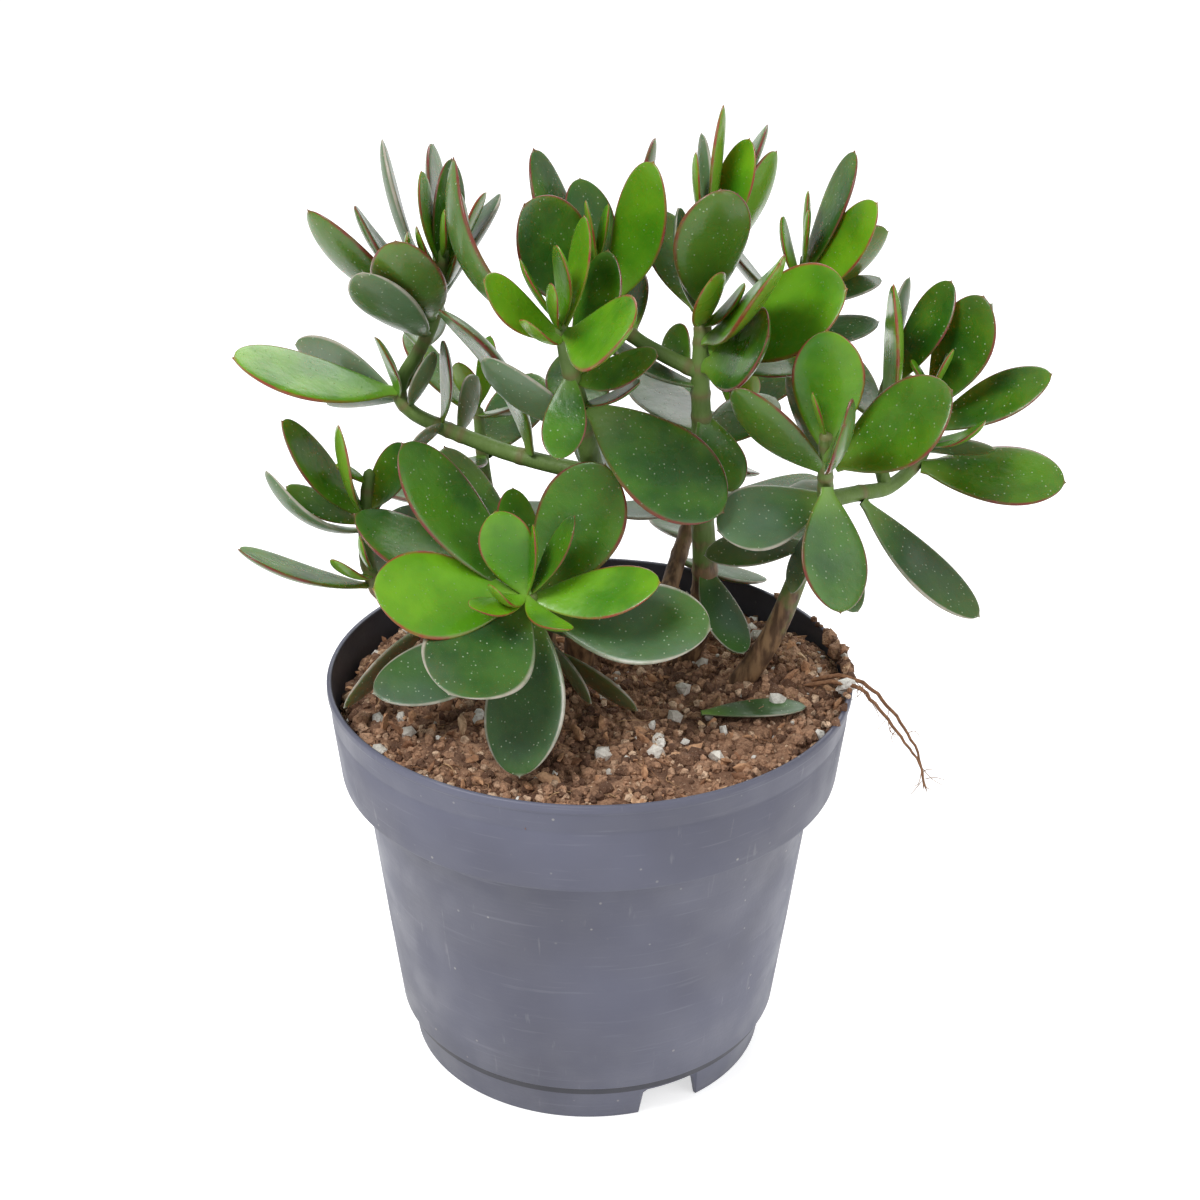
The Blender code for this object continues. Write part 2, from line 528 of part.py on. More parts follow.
def make_pot():
    """Nursery pot: rim band, tapered body, ledge, foot ring with three drain notches, and a centre foot."""
    band_low = POT_HEIGHT - RIM_BAND_HEIGHT
    floor_top = FLOOR_HEIGHT + FLOOR_THICKNESS
    outline = [
        (0, 0), (PAD_RADIUS, 0), (PAD_RADIUS, FLOOR_HEIGHT),
        (FOOT_RADIUS - POT_WALL, FLOOR_HEIGHT), (FOOT_RADIUS - POT_WALL, 0), (FOOT_RADIUS, 0),
        (BODY_LOW_RADIUS - LEDGE_DEPTH, LEDGE_HEIGHT), (BODY_LOW_RADIUS, LEDGE_HEIGHT),
        (BODY_TOP_RADIUS, band_low), (BAND_LOW_RADIUS, band_low), (RIM_RADIUS - 0.4, POT_HEIGHT - 3.0),
        (RIM_RADIUS, POT_HEIGHT - 2.6), (RIM_RADIUS, POT_HEIGHT), (RIM_RADIUS - POT_WALL, POT_HEIGHT),
    ]
    outline += inner_wall(0.0)[::-1] + [(0, floor_top)]
    pot = turned_body("pot", outline, material("pot", COLOURS["pot"], 0.45))
    for turn in NOTCH_TURNS:
        angle = math.radians(turn)
        bpy.ops.mesh.primitive_cube_add(size=1.0)
        notch = bpy.context.active_object
        notch.scale = (12 * MM, NOTCH_WIDTH * MM, 2 * NOTCH_HEIGHT * MM)
        notch.rotation_euler = (0, 0, angle)
        notch.location = (FOOT_RADIUS * math.cos(angle) * MM, FOOT_RADIUS * math.sin(angle) * MM, 0)
        combine(pot, notch, "DIFFERENCE")
    return pot


def soil_height(x, y):
    """Height of the soil's surface: level, lower at the wall, with a mound of roots at one side."""
    edge = SOIL_EDGE_DROP * (math.hypot(x, y) / SOIL_RINGS[-1]) ** 6
    away = (x - MOUND_PLACE[0]) ** 2 + (y - MOUND_PLACE[1]) ** 2
    return SOIL_LEVEL - edge + MOUND_HEIGHT * math.exp(-away / (2 * MOUND_SPREAD**2))


def make_soil():
    """Soil that fills the pot, cut away round each rooted shoot."""
    wall = inner_wall(GAP)
    outline = [(0, wall[0][1])] + wall
    outline.append((RIM_RADIUS - POT_WALL - 2.2, SOIL_LEVEL - SOIL_EDGE_DROP - 3.0))
    outline += [(radius, SOIL_LEVEL) for radius in SOIL_RINGS[:0:-1]]
    outline.append((0, SOIL_LEVEL))
    soil = turned_body("soil", outline, material("soil", COLOURS["soil"], 0.95))
    for vertex in soil.data.vertices:
        x, y, z = vertex.co / MM
        if z > SOIL_LEVEL - 0.5:
            vertex.co.z = soil_height(x, y) * MM
    for name, (*_, parent) in SHOOTS.items():
        if parent is None:
            combine(soil, add_object("hole", stem_shape(name, GAP)), "DIFFERENCE")
    return soil


def make_shoots(leaves):
    """Stems with their smaller leaves grown on, and each large leaf as a piece of its own."""
    finishes = {age: material(f"leaf_{age}", COLOURS[age], 0.35) for age in "ymo"}
    bark = material("stem", COLOURS["stem"], 0.8)
    for name, (*_, parent) in SHOOTS.items():
        shoot = add_object(f"shoot_{name}", stem_shape(name), bark)
        if parent:
            combine(shoot, add_object("socket", stem_shape(parent, GAP)), "DIFFERENCE")
        for leaf in (leaf for leaf in leaves if leaf.shoot == name):
            blade = add_object(leaf.name, leaf.solid(leaf.changes), finishes[leaf.age])
            if not leaf.separate:
                combine(shoot, blade, "UNION")


def make_fallen_leaf():
    """A shed leaf that lies on the soil."""
    (x, y), turn, length, width = FALLEN_LEAF
    ahead = heading(turn, 0)
    rest = max(soil_height(*(np.array([x, y]) + ahead[:2] * s)) for s in (-length / 2, 0, length / 2))
    base = np.array([x, y, rest + leaf_thickness(width) / 2 + REST_GAP]) - ahead * length / 2
    shape = leaf_shape(base, ahead, np.array([0, 0, 1.0]), length, width, 0.0)
    add_object("fallen_leaf", shape, material("fallen_leaf", COLOURS["o"], 0.5))


def main():
    """Build the whole potted plant."""
    for thing in list(bpy.data.objects):
        bpy.data.objects.remove(thing)
    make_pot()
    make_soil()
    stems = {name: tree(stem_shape(name)) for name in SHOOTS}
    make_shoots(lay_leaves(stems))
    make_fallen_leaf()


main()
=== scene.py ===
"""Looks of the potted jade plant: glossy fleshy leaves, ringed stems, crumbly soil and a satin plastic pot.

Tables are in millimetres and degrees, as the construction gives them; MM turns them into metres.
"""

import itertools
import logging
import math
from dataclasses import dataclass, field
from enum import Enum

import bpy
import numpy as np
from mathutils import Matrix
from mathutils.bvhtree import BVHTree


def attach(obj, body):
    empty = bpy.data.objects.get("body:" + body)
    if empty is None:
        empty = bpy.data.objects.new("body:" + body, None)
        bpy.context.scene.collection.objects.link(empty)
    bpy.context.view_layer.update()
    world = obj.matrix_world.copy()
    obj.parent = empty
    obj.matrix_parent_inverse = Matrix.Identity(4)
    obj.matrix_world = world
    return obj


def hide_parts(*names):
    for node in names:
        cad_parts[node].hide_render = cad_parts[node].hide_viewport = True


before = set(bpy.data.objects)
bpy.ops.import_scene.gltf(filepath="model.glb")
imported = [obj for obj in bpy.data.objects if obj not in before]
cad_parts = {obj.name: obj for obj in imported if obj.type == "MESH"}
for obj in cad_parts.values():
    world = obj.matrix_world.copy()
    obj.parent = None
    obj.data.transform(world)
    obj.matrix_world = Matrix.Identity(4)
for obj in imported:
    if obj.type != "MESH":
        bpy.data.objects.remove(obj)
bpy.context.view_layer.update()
LOG = logging.getLogger("jade_plant")

Shape = tuple[np.ndarray, list]
MM = 0.001
GAP = 0.3                       # clearance between pieces that touch

# Pot: a 17 cm nursery pot with a deep rim band and a foot ring
POT_HEIGHT = 135.0
RIM_RADIUS = 85.0
RIM_BAND_HEIGHT = 32.0
BAND_LOW_RADIUS = 81.5
BODY_TOP_RADIUS = 74.8
BODY_LOW_RADIUS = 64.2
LEDGE_HEIGHT = 15.0
LEDGE_DEPTH = 2.4
FOOT_RADIUS = 59.6
POT_WALL = 1.7
FLOOR_HEIGHT = 10.0             # underside of the pot's floor
FLOOR_THICKNESS = 2.0
PAD_RADIUS = 13.0               # centre foot under the floor
NOTCH_WIDTH = 20.0
NOTCH_HEIGHT = 9.0
NOTCH_TURNS = (-63.0, 57.0, 177.0)

# Soil
SOIL_LEVEL = 130.0
SOIL_EDGE_DROP = 3.0
SOIL_RINGS = (0.0, 24.0, 46.0, 62.0, 76.0)
MOUND_HEIGHT = 9.0
MOUND_PLACE = (64.0, 8.0)
MOUND_SPREAD = 15.0

# Leaves
LEAF_ROWS = (0.0, 0.14, 0.34, 0.58, 0.80, 0.94)
LEAF_SECTION = ((-1.0, 0.0), (-0.5, 1.0), (0.5, 1.0), (1.0, 0.0), (0.5, -1.0), (-0.5, -1.0))
SMALL_LEAF_ROWS = (0.0, 0.18, 0.45, 0.72, 0.92)
SMALL_LEAF_SECTION = ((-1.0, 0.0), (0.0, 1.0), (1.0, 0.0), (0.0, -1.0))
LEAF_FULLEST = 1.4              # exponent that puts the widest place at about 60 % of the length
LEAF_NECK = 0.17                # base width over full width
LEAF_CUP = 0.05                 # how far the margins stand above the midline, over the width
UPWARD_PULL = 0.6               # how much a leaf's upper face turns to the sky
SEPARATE_LEAVES = 46            # the largest leaves are nodes of their own; the rest grow on their shoot
STEM_SIDES = 8
STEM_STEP = 9.0
TIP_LENGTH = 1.6                # blunt end of a stem
TIP_TAPER = 0.6
BLADE_START = 0.25              # share of the length where a leaf is clear of its own stem
ROOT_DEPTH = 8.0                # how far a rooted shoot goes down into the soil

# Shoots: points from root to tip, radius at the root and at the tip, and the shoot that it springs from
SHOOTS = {
    "trunk": ([(-4, 16, 126), (-2, 6, 165), (1, -6, 206), (-1, -12, 217), (-4, -20, 236),
               (-7, -26, 249), (-9, -26, 261)], 5.5, 2.2, None),
    "tall": ([(30, 16, 127), (37, 12, 153), (35, 8, 191), (34, 5, 220), (33, 3, 236),
              (34, 10, 256), (35, 15, 275)], 5.0, 2.2, None),
    "right": ([(46, -2, 127), (58, -6, 150), (66, -10, 178), (71, -18, 203), (70, -22, 214),
               (69, -26, 228)], 4.5, 2.0, None),
    "low": ([(-23, 3, 126), (-45, -8, 150), (-67, -12, 169), (-70, -8, 189), (-68, -6, 207)],
            3.4, 1.9, None),
    "front": ([(-13, 9, 124), (-13, -8, 143), (-16, -26, 168), (-19, -40, 181)], 4.0, 2.6, None),
    "left": ([(1, -6, 206), (-18, 0, 208), (-38, 5, 213), (-60, 8, 225), (-49, 12, 247),
              (-45, 14, 271)], 2.9, 1.8, "trunk"),
    "crown": ([(33, 3, 236), (16, 8, 243), (4, 12, 253), (1, 14, 268)], 2.6, 1.7, "tall"),
    "spur": ([(33, 3, 236), (49, 14, 239), (63, 24, 250), (66, 28, 266)], 2.6, 1.6, "tall"),
    "far": ([(71, -18, 203), (82, -8, 201), (92, 0, 199), (104, 10, 206), (106, 12, 220),
             (105, 12, 230)], 2.8, 1.7, "right"),
    "back": ([(92, 0, 199), (89, 8, 211), (91, 14, 225), (94, 16, 238)], 2.3, 1.5, "far"),
    "rear_left": ([(-20, 26, 126), (-30, 42, 150), (-36, 52, 182), (-38, 56, 204)], 3.6, 1.8, None),
    "rear_right": ([(22, 36, 126), (30, 52, 150), (40, 60, 180), (48, 62, 200)], 3.8, 1.8, None),
}

# Leaves of each shoot, laid in this order. Each row is:
# height along the shoot, compass turn (0 = +X, 90 = +Y), rise, length, width, roll, bow, age
# age: "y" young and bright, "m" mature, "o" old and blue-grey
LEAVES = {
    "front": [
        (76, -165, 10, 46, 27, -10, 0.05, "y"), (77, 165, 70, 28, 15, -5, 0.06, "y"),
        (74, -120, -15, 44, 31, -5, 0.05, "o"), (67, -95, -50, 53, 26, 20, 0.06, "o"),
        (64, -15, 0, 55, 27, 5, 0.05, "o"), (72, -15, 15, 42, 17, 0, 0.06, "y"),
        (77, -60, 0, 26, 10, -35, 0.10, "y"), (77, -120, 30, 21, 9, 0, 0.15, "y"),
        (77, -135, 12, 25, 10, 20, 0.08, "y"), (77, 60, 80, 22, 8, -60, 0.05, "y"),
        (64, 30, 60, 48, 27, -5, 0.05, "m"), (71, 165, 50, 60, 24, 20, 0.05, "m"),
        (66, 170, 25, 60, 24, 25, 0.05, "m"), (49, -160, -15, 56, 22, -5, 0.05, "o"),
        (74, 15, 60, 29, 12, -35, 0.05, "m"), (62, 10, 20, 56, 22, -25, 0.05, "m"),
        (64, 110, 70, 39, 16, 0, 0.05, "m"), (56, 130, 65, 62, 25, 35, 0.05, "m"),
        (48, -20, -5, 39, 16, -70, 0.0, "o"), (33, -30, -22, 36, 14, -80, 0.0, "o"),
        (41, -55, -25, 29, 13, -85, 0.0, "o"), (59, -160, -10, 34, 14, 0, 0.0, "o"),
    ],
    "low": [
        (66, -160, 25, 45, 18, -30, 0.05, "m"), (87, -165, 55, 42, 17, -30, 0.05, "m"),
        (83, -150, 40, 41, 16, 0, 0.15, "o"), (85, 175, 25, 27, 11, -20, 0.05, "m"),
        (87, -115, 70, 37, 15, -45, 0.06, "y"), (89, -10, 85, 27, 11, 80, 0.06, "m"),
        (68, -125, 35, 22, 9, -10, 0.10, "y"), (70, -100, 55, 19, 8, -70, 0.05, "y"),
        (98, -155, 45, 12, 5, 0, 0.0, "y"), (43, -140, -30, 38, 15, 60, 0.0, "o"),
        (85, 65, 20, 28, 11, -55, 0.0, "o"), (66, 75, 20, 36, 17, 0, 0.05, "o"),
        (45, 110, 15, 34, 16, 0, 0.05, "o"),
    ],
    "trunk": [
        (114, -15, -35, 53, 29, 15, 0.04, "m"), (141, -60, 20, 40, 23, 40, 0.05, "y"),
        (139, -145, 40, 35, 14, -55, 0.08, "y"), (141, 150, 55, 59, 24, 55, 0.20, "m"),
        (144, -125, 85, 24, 13, 75, 0.08, "y"), (142, -95, 45, 25, 10, -75, 0.08, "y"),
        (140, -110, 25, 28, 11, -30, 0.10, "y"), (141, 65, 65, 34, 14, -30, 0.05, "y"),
        (144, 160, 55, 22, 9, 30, 0.05, "y"), (128, -100, -45, 28, 12, -10, 0.08, "m"),
        (124, -30, 25, 31, 13, 20, 0.05, "m"), (114, -40, 5, 26, 10, -5, 0.05, "m"),
        (124, 60, 60, 40, 16, -15, 0.05, "m"), (104, -160, 40, 41, 16, 60, 0.08, "o"),
        (106, 95, 15, 40, 19, 0, 0.05, "m"), (78, 80, 10, 42, 20, 0, 0.05, "o"),
    ],
    "tall": [
        (119, -25, 30, 51, 29, 60, 0.04, "y"), (113, -65, 30, 46, 24, 70, 0.06, "m"),
        (121, -50, 40, 59, 22, 55, 0.05, "y"), (131, -80, 70, 45, 23, 20, 0.04, "m"),
        (145, 25, 70, 38, 15, 40, 0.05, "y"), (127, -90, 60, 38, 15, 80, 0.05, "y"),
        (125, -60, 40, 28, 11, 50, 0.05, "y"), (153, 60, 80, 39, 16, 5, 0.0, "y"),
        (151, -130, 75, 29, 11, -60, 0.05, "y"), (141, 40, 55, 43, 17, -70, 0.05, "y"),
        (127, -155, 75, 37, 15, -70, 0.05, "o"), (147, 50, 50, 44, 18, -50, 0.0, "m"),
        (143, 95, 60, 41, 16, 85, 0.0, "o"), (106, -175, 55, 41, 17, 5, 0.08, "o"),
        (97, -55, -50, 27, 16, -5, 0.05, "m"), (42, -60, -40, 33, 14, -5, 0.05, "o"),
        (33, -55, -62, 25, 11, -80, 0.0, "o"), (85, 40, 15, 33, 17, 15, 0.0, "m"),
        (130, 110, 35, 42, 20, 0, 0.05, "m"), (90, 120, 10, 40, 19, 0, 0.05, "o"),
    ],
    "crown": [
        (37, -150, 55, 45, 25, -70, 0.04, "m"), (38, -20, 75, 47, 20, 70, 0.04, "y"),
        (37, 150, 65, 52, 21, 0, 0.04, "m"), (35, 50, 65, 50, 20, 25, 0.0, "y"),
        (43, 110, 55, 34, 15, -5, 0.0, "m"), (34, 70, 55, 58, 23, -50, 0.0, "m"),
        (46, -130, 75, 25, 10, -80, 0.0, "y"), (49, 5, 80, 19, 7, 30, 0.0, "y"),
        (4, 145, 25, 17, 12, 0, 0.0, "m"), (24, 100, 15, 38, 18, 0, 0.05, "m"),
    ],
    "spur": [
        (42, -25, 55, 42, 17, 70, 0.05, "y"), (49, 30, 65, 42, 17, 5, 0.04, "m"),
        (48, -135, 65, 25, 10, -65, 0.05, "y"), (53, -90, 70, 21, 8, -85, 0.0, "y"),
        (55, 85, 75, 21, 8, 40, 0.0, "y"), (41, 35, 25, 41, 16, -70, 0.0, "m"),
        (40, 30, 8, 33, 14, 20, 0.0, "o"), (26, 10, 5, 37, 15, 30, 0.04, "o"),
        (8, -5, 0, 29, 13, 55, 0.0, "m"), (38, 125, 25, 38, 18, 0, 0.05, "m"),
    ],
    "right": [
        (97, -15, 40, 44, 26, 30, 0.04, "m"), (102, 120, 85, 37, 20, 0, 0.05, "y"),
        (103, -90, 35, 41, 21, 80, 0.05, "m"), (90, -80, -55, 40, 22, -30, 0.05, "m"),
        (94, -165, 45, 42, 17, 60, 0.06, "m"), (84, -160, -10, 36, 21, -20, 0.05, "o"),
        (107, -155, 70, 16, 6, 5, 0.0, "y"), (73, -30, -60, 31, 14, 10, 0.0, "o"),
        (75, -140, -65, 25, 10, 40, 0.0, "o"), (64, -175, -5, 33, 13, -10, 0.0, "o"),
        (93, 130, 55, 32, 13, 85, 0.0, "o"), (79, 125, 30, 40, 19, -5, 0.0, "m"),
        (58, 80, 15, 40, 19, 0, 0.05, "o"),
    ],
    "far": [
        (27, -50, 15, 33, 22, 80, 0.06, "y"), (42, -15, 0, 46, 23, 65, 0.04, "m"),
        (54, -10, 30, 42, 17, 35, 0.04, "m"), (61, 0, 70, 39, 19, 45, 0.04, "m"),
        (54, 15, 25, 43, 19, -75, 0.05, "o"), (16, -20, -40, 53, 21, 60, 0.05, "o"),
        (50, -55, 30, 28, 11, 30, 0.10, "y"), (67, -150, 75, 14, 6, -40, 0.0, "y"),
        (66, -50, 65, 18, 7, 25, 0.0, "y"), (47, -35, 15, 25, 10, -35, 0.0, "o"),
        (60, 40, 50, 39, 16, -80, 0.0, "o"), (42, -5, -20, 40, 16, -40, 0.0, "o"),
        (26, 50, -50, 27, 11, -20, 0.0, "o"), (46, 95, 20, 40, 19, 0, 0.05, "m"),
    ],
    "back": [
        (14, -95, 88, 54, 21, 70, 0.04, "y"), (32, 20, 65, 39, 16, 15, 0.04, "m"),
        (30, 65, 70, 38, 15, -80, 0.0, "o"), (42, -135, 80, 18, 7, -45, 0.0, "y"),
        (22, 110, 20, 40, 19, 0, 0.05, "m"),
    ],
    "left": [
        (68, -155, 30, 55, 22, -20, 0.05, "y"), (89, -115, 40, 47, 19, 20, 0.08, "o"),
        (96, -165, 45, 50, 20, 25, 0.08, "m"), (95, -135, 40, 50, 20, 15, 0.08, "m"),
        (68, -145, 15, 45, 18, 45, 0.22, "m"), (101, -145, 50, 42, 17, -20, 0.08, "m"),
        (104, 160, 65, 47, 19, 35, 0.05, "o"), (110, 175, 80, 30, 12, -20, 0.05, "y"),
        (102, -65, 65, 40, 16, 75, 0.12, "m"), (108, 95, 45, 46, 18, 60, 0.0, "m"),
        (101, -105, 45, 35, 14, -65, 0.05, "y"), (108, -110, 45, 26, 11, -50, 0.05, "y"),
        (113, -80, 60, 20, 8, -80, 0.0, "y"), (106, 110, 50, 37, 15, 70, 0.0, "m"),
        (103, 60, 45, 35, 14, -55, 0.0, "y"), (100, 65, 30, 47, 19, -60, 0.0, "o"),
        (66, -115, 60, 28, 11, 75, 0.05, "y"), (67, -180, 40, 27, 11, 5, 0.05, "y"),
        (22, -155, 60, 59, 24, 70, 0.10, "m"), (51, -70, 80, 29, 12, 35, 0.05, "m"),
        (62, -60, 55, 27, 11, -5, 0.05, "o"), (50, -125, -5, 20, 8, 30, 0.0, "o"),
        (66, 150, 15, 41, 16, 80, 0.0, "o"), (66, 150, -15, 29, 11, 55, 0.0, "o"),
        (66, 65, 65, 20, 8, 15, 0.0, "m"), (45, 75, 30, 23, 11, -65, 0.0, "o"),
        (84, 100, 15, 40, 19, 0, 0.05, "o"),
    ],
    "rear_left": [
        (88, 60, 70, 24, 10, 0, 0.05, "y"), (88, -120, 60, 22, 9, 0, 0.05, "y"),
        (84, 150, 40, 38, 18, 0, 0.05, "m"), (84, -30, 25, 34, 16, 0, 0.05, "m"),
        (70, 70, 20, 46, 22, 0, 0.05, "m"), (70, -110, 15, 34, 16, 0, 0.05, "m"),
        (54, 160, 5, 46, 22, 0, 0.05, "m"), (54, -20, 5, 38, 18, 0, 0.05, "o"),
        (40, 80, -10, 44, 21, 0, 0.05, "o"), (32, 150, -20, 36, 18, 0, 0.05, "o"),
    ],
    "rear_right": [
        (86, 120, 70, 24, 10, 0, 0.05, "y"), (86, -60, 60, 20, 9, 0, 0.05, "y"),
        (82, 30, 35, 38, 18, 0, 0.05, "m"), (82, -150, 25, 34, 16, 0, 0.05, "m"),
        (68, 110, 20, 46, 22, 0, 0.05, "m"), (68, -70, 10, 30, 14, 0, 0.05, "m"),
        (52, 20, 5, 44, 21, 0, 0.05, "m"), (52, -160, 0, 34, 16, 0, 0.05, "o"),
        (38, 90, -12, 44, 21, 0, 0.05, "o"), (30, 20, -22, 38, 18, 0, 0.05, "o"),
    ],
}

# A shed leaf that lies on the soil: centre, turn, length, width
FALLEN_LEAF = ((52.0, -22.0), 8.0, 34.0, 12.0)
REST_GAP = 0.8                  # between its midline and the soil's facets

# How far a leaf may turn aside to clear the leaves laid before it, in degrees
ROLL_CHANGES = (0, 12, -12, 24, -24, 40, -40)
RISE_CHANGES = (0, 5, -5, 10, -10, 16, -16, 24, -24)
TURN_CHANGES = (0, 5, -5, 10, -10, 16, -16, 24, -24, 34, -34)
ROLL_EASE = 0.4                 # a change of roll counts for less than a change of direction


class Age(Enum):
    """How old a leaf is, which sets its colour."""

    YOUNG = "y"
    MATURE = "m"
    OLD = "o"


def unit(vector: np.ndarray) -> np.ndarray:
    """The vector at length 1."""
    return vector / np.linalg.norm(vector)


def heading(turn: float, rise: float) -> np.ndarray:
    """Unit vector at a compass turn and a rise above level, in degrees."""
    turn, rise = math.radians(turn), math.radians(rise)
    return np.array([math.cos(turn) * math.cos(rise), math.sin(turn) * math.cos(rise), math.sin(rise)])


def turned(vector: np.ndarray, axis: np.ndarray, degrees: float) -> np.ndarray:
    """The vector turned about a unit axis (Rodrigues' formula)."""
    angle = math.radians(degrees)
    return (vector * math.cos(angle) + np.cross(axis, vector) * math.sin(angle)
            + axis * axis.dot(vector) * (1 - math.cos(angle)))


def linear(red: int, green: int, blue: int) -> tuple[float, float, float, float]:
    """A display colour of 0 to 255 as linear light with full alpha."""
    parts = [c / 255 for c in (red, green, blue)]
    return (*[c / 12.92 if c <= 0.04045 else ((c + 0.055) / 1.055) ** 2.4 for c in parts], 1.0)


def value_noise(x: np.ndarray, y: np.ndarray, cell: float, seed: int) -> np.ndarray:
    """Smooth noise from -1 to 1: random values on a square lattice, blended between its nodes."""
    lattice = np.random.default_rng(seed).uniform(-1, 1, (64, 64))
    i, j = np.floor(x / cell).astype(int), np.floor(y / cell).astype(int)
    s, t = x / cell - i, y / cell - j
    s, t = s * s * (3 - 2 * s), t * t * (3 - 2 * t)
    a, b = lattice[i % 64, j % 64], lattice[(i + 1) % 64, j % 64]
    c, d = lattice[i % 64, (j + 1) % 64], lattice[(i + 1) % 64, (j + 1) % 64]
    return (a * (1 - s) + b * s) * (1 - t) + (c * (1 - s) + d * s) * t


# ---------------------------------------------------------------- the laid shape of the plant

def shoot_route(points: list) -> np.ndarray:
    """Smooth route through a shoot's points: a Catmull-Rom curve, read about every STEM_STEP."""
    points = np.array(points, float)
    ends = np.vstack([2 * points[0] - points[1], points, 2 * points[-1] - points[-2]])
    route = []
    for a, b, c, d in zip(ends, ends[1:], ends[2:], ends[3:]):
        count = max(1, round(np.linalg.norm(c - b) / STEM_STEP))
        t = (np.arange(count) / count)[:, None]
        route.append(0.5 * (2 * b + (c - a) * t + (2 * a - 5 * b + 4 * c - d) * t**2
                            + (3 * b - a - 3 * c + d) * t**3))
    return np.vstack(route + [points[-1:]])


def along(points: list, height: float) -> tuple[np.ndarray, np.ndarray, float]:
    """The place, heading and share of the length at a height along the lines through a shoot's points."""
    points = np.array(points, float)
    runs = np.linalg.norm(np.diff(points, axis=0), axis=1)
    marks = np.concatenate([[0.0], np.cumsum(runs)])
    height = min(height, marks[-1])
    i = min(int(np.searchsorted(marks, height, side="right")) - 1, len(runs) - 1)
    step = points[i + 1] - points[i]
    return points[i] + step * (height - marks[i]) / runs[i], unit(step), height / marks[-1]


def ring_faces(rows: int, sides: int) -> list:
    """Faces of a closed bar of rings, with flat caps, turned outward."""
    faces = []
    for row, k in itertools.product(range(rows - 1), range(sides)):
        a, b = row * sides + k, row * sides + (k + 1) % sides
        faces.append((a, b, b + sides, a + sides))
    faces.append(tuple(range(sides))[::-1])
    faces.append(tuple(range((rows - 1) * sides, rows * sides)))
    return faces


def rows_unit(rows: np.ndarray) -> np.ndarray:
    """Each row at length 1."""
    return rows / np.linalg.norm(rows, axis=1)[:, None]


def across_axes(ahead: np.ndarray, reference: tuple = (1.0, 0.0, 0.0)) -> tuple[np.ndarray, np.ndarray]:
    """Two unit directions across each heading, the first square to the reference too."""
    side = rows_unit(np.cross(ahead, reference))
    return side, np.cross(ahead, side)


def tube(route: np.ndarray, root_radius: float, tip_radius: float, extra: float = 0.0) -> Shape:
    """Round bar along a route, tapering from its root to a blunt tip."""
    ahead = rows_unit(np.gradient(route, axis=0))
    route = np.vstack([route, route[-1] + ahead[-1] * TIP_LENGTH])
    ahead = np.vstack([ahead, ahead[-1:]])
    radii = np.linspace(root_radius, tip_radius, len(route)) + extra
    radii[-1] *= TIP_TAPER
    side, across = across_axes(ahead)
    angles = np.linspace(0, 2 * math.pi, STEM_SIDES, endpoint=False)
    ring = np.cos(angles)[None, :, None] * side[:, None] + np.sin(angles)[None, :, None] * across[:, None]
    verts = (route[:, None] + ring * radii[:, None, None]).reshape(-1, 3)
    return verts, ring_faces(len(route), STEM_SIDES)


def rooted_route(shoot: str) -> np.ndarray:
    """A shoot's route; one that springs from the soil goes down into it by ROOT_DEPTH."""
    points, _, _, parent = SHOOTS[shoot]
    route = shoot_route(points)
    if parent is None:
        route = np.vstack([route[0] - (0, 0, ROOT_DEPTH), route])
    return route


def leaf_width(u: np.ndarray) -> np.ndarray:
    """Width at u along the leaf, over its full width: narrow neck, widest past the middle, round end."""
    return np.maximum(LEAF_NECK, np.sin(math.pi * np.clip(u, 0, 1) ** LEAF_FULLEST) ** 0.75)


def leaf_thickness(width: float) -> float:
    """Thickness of a leaf at its midline."""
    return min(max(0.2 * width, 2.2), 4.4)


def leaf_block(base: np.ndarray, ahead: np.ndarray, up: np.ndarray, length: float, width: float,
               bow: float, extra: float = 0.0, small: bool = False) -> Shape:
    """The leaf's plain solid, which is what the leaves are laid by: lens sections and a tip point."""
    side = np.cross(ahead, up)
    thick = leaf_thickness(width) + 2 * extra
    section = SMALL_LEAF_SECTION if small else LEAF_SECTION
    u = np.array(SMALL_LEAF_ROWS if small else LEAF_ROWS)
    half = (width / 2 * leaf_width(u) + extra)[:, None]
    rise = thick / 2 * (0.55 + 0.45 * leaf_width(u))[:, None]
    cup = LEAF_CUP * half * 2
    middle = base + np.outer(u * length, ahead) - np.outer(bow * length * 4 * u * (1 - u), up)
    corners = [middle + half * s * side + (rise * t + cup * (1 if t == 0 else 0)) * up
               for s, t in section]
    verts = np.stack(corners, axis=1).reshape(-1, 3)
    verts = np.vstack([verts, base + ahead * (length + extra)])
    rows, sides, tip = len(u), len(section), len(u) * len(section)
    faces = ring_faces(rows, sides)[:-1]
    last = (rows - 1) * sides
    faces += [(last + k, last + (k + 1) % sides, tip) for k in range(sides)]
    return verts, faces


def tree(shape: Shape) -> BVHTree:
    """Search tree over a shape's faces."""
    return BVHTree.FromPolygons(shape[0].tolist(), shape[1])


def spread(shape: Shape) -> tuple[np.ndarray, float]:
    """Centre and radius of a ball round a shape."""
    centre = shape[0].mean(axis=0)
    return centre, np.linalg.norm(shape[0] - centre, axis=1).max()


def soil_height(x: float, y: float) -> float:
    """Height of the soil's surface: level, lower at the wall, with a mound of roots at one side."""
    edge = SOIL_EDGE_DROP * (math.hypot(x, y) / SOIL_RINGS[-1]) ** 6
    away = (x - MOUND_PLACE[0]) ** 2 + (y - MOUND_PLACE[1]) ** 2
    return SOIL_LEVEL - edge + MOUND_HEIGHT * math.exp(-away / (2 * MOUND_SPREAD**2))


def ground(x: float, y: float) -> float:
    """Lowest height allowed to a leaf: just over the soil, over the rim, or free outside the pot."""
    out = math.hypot(x, y)
    if out > RIM_RADIUS + 2:
        return 0.0
    return (POT_HEIGHT if out > SOIL_RINGS[-1] else soil_height(x, y)) + 2 * GAP


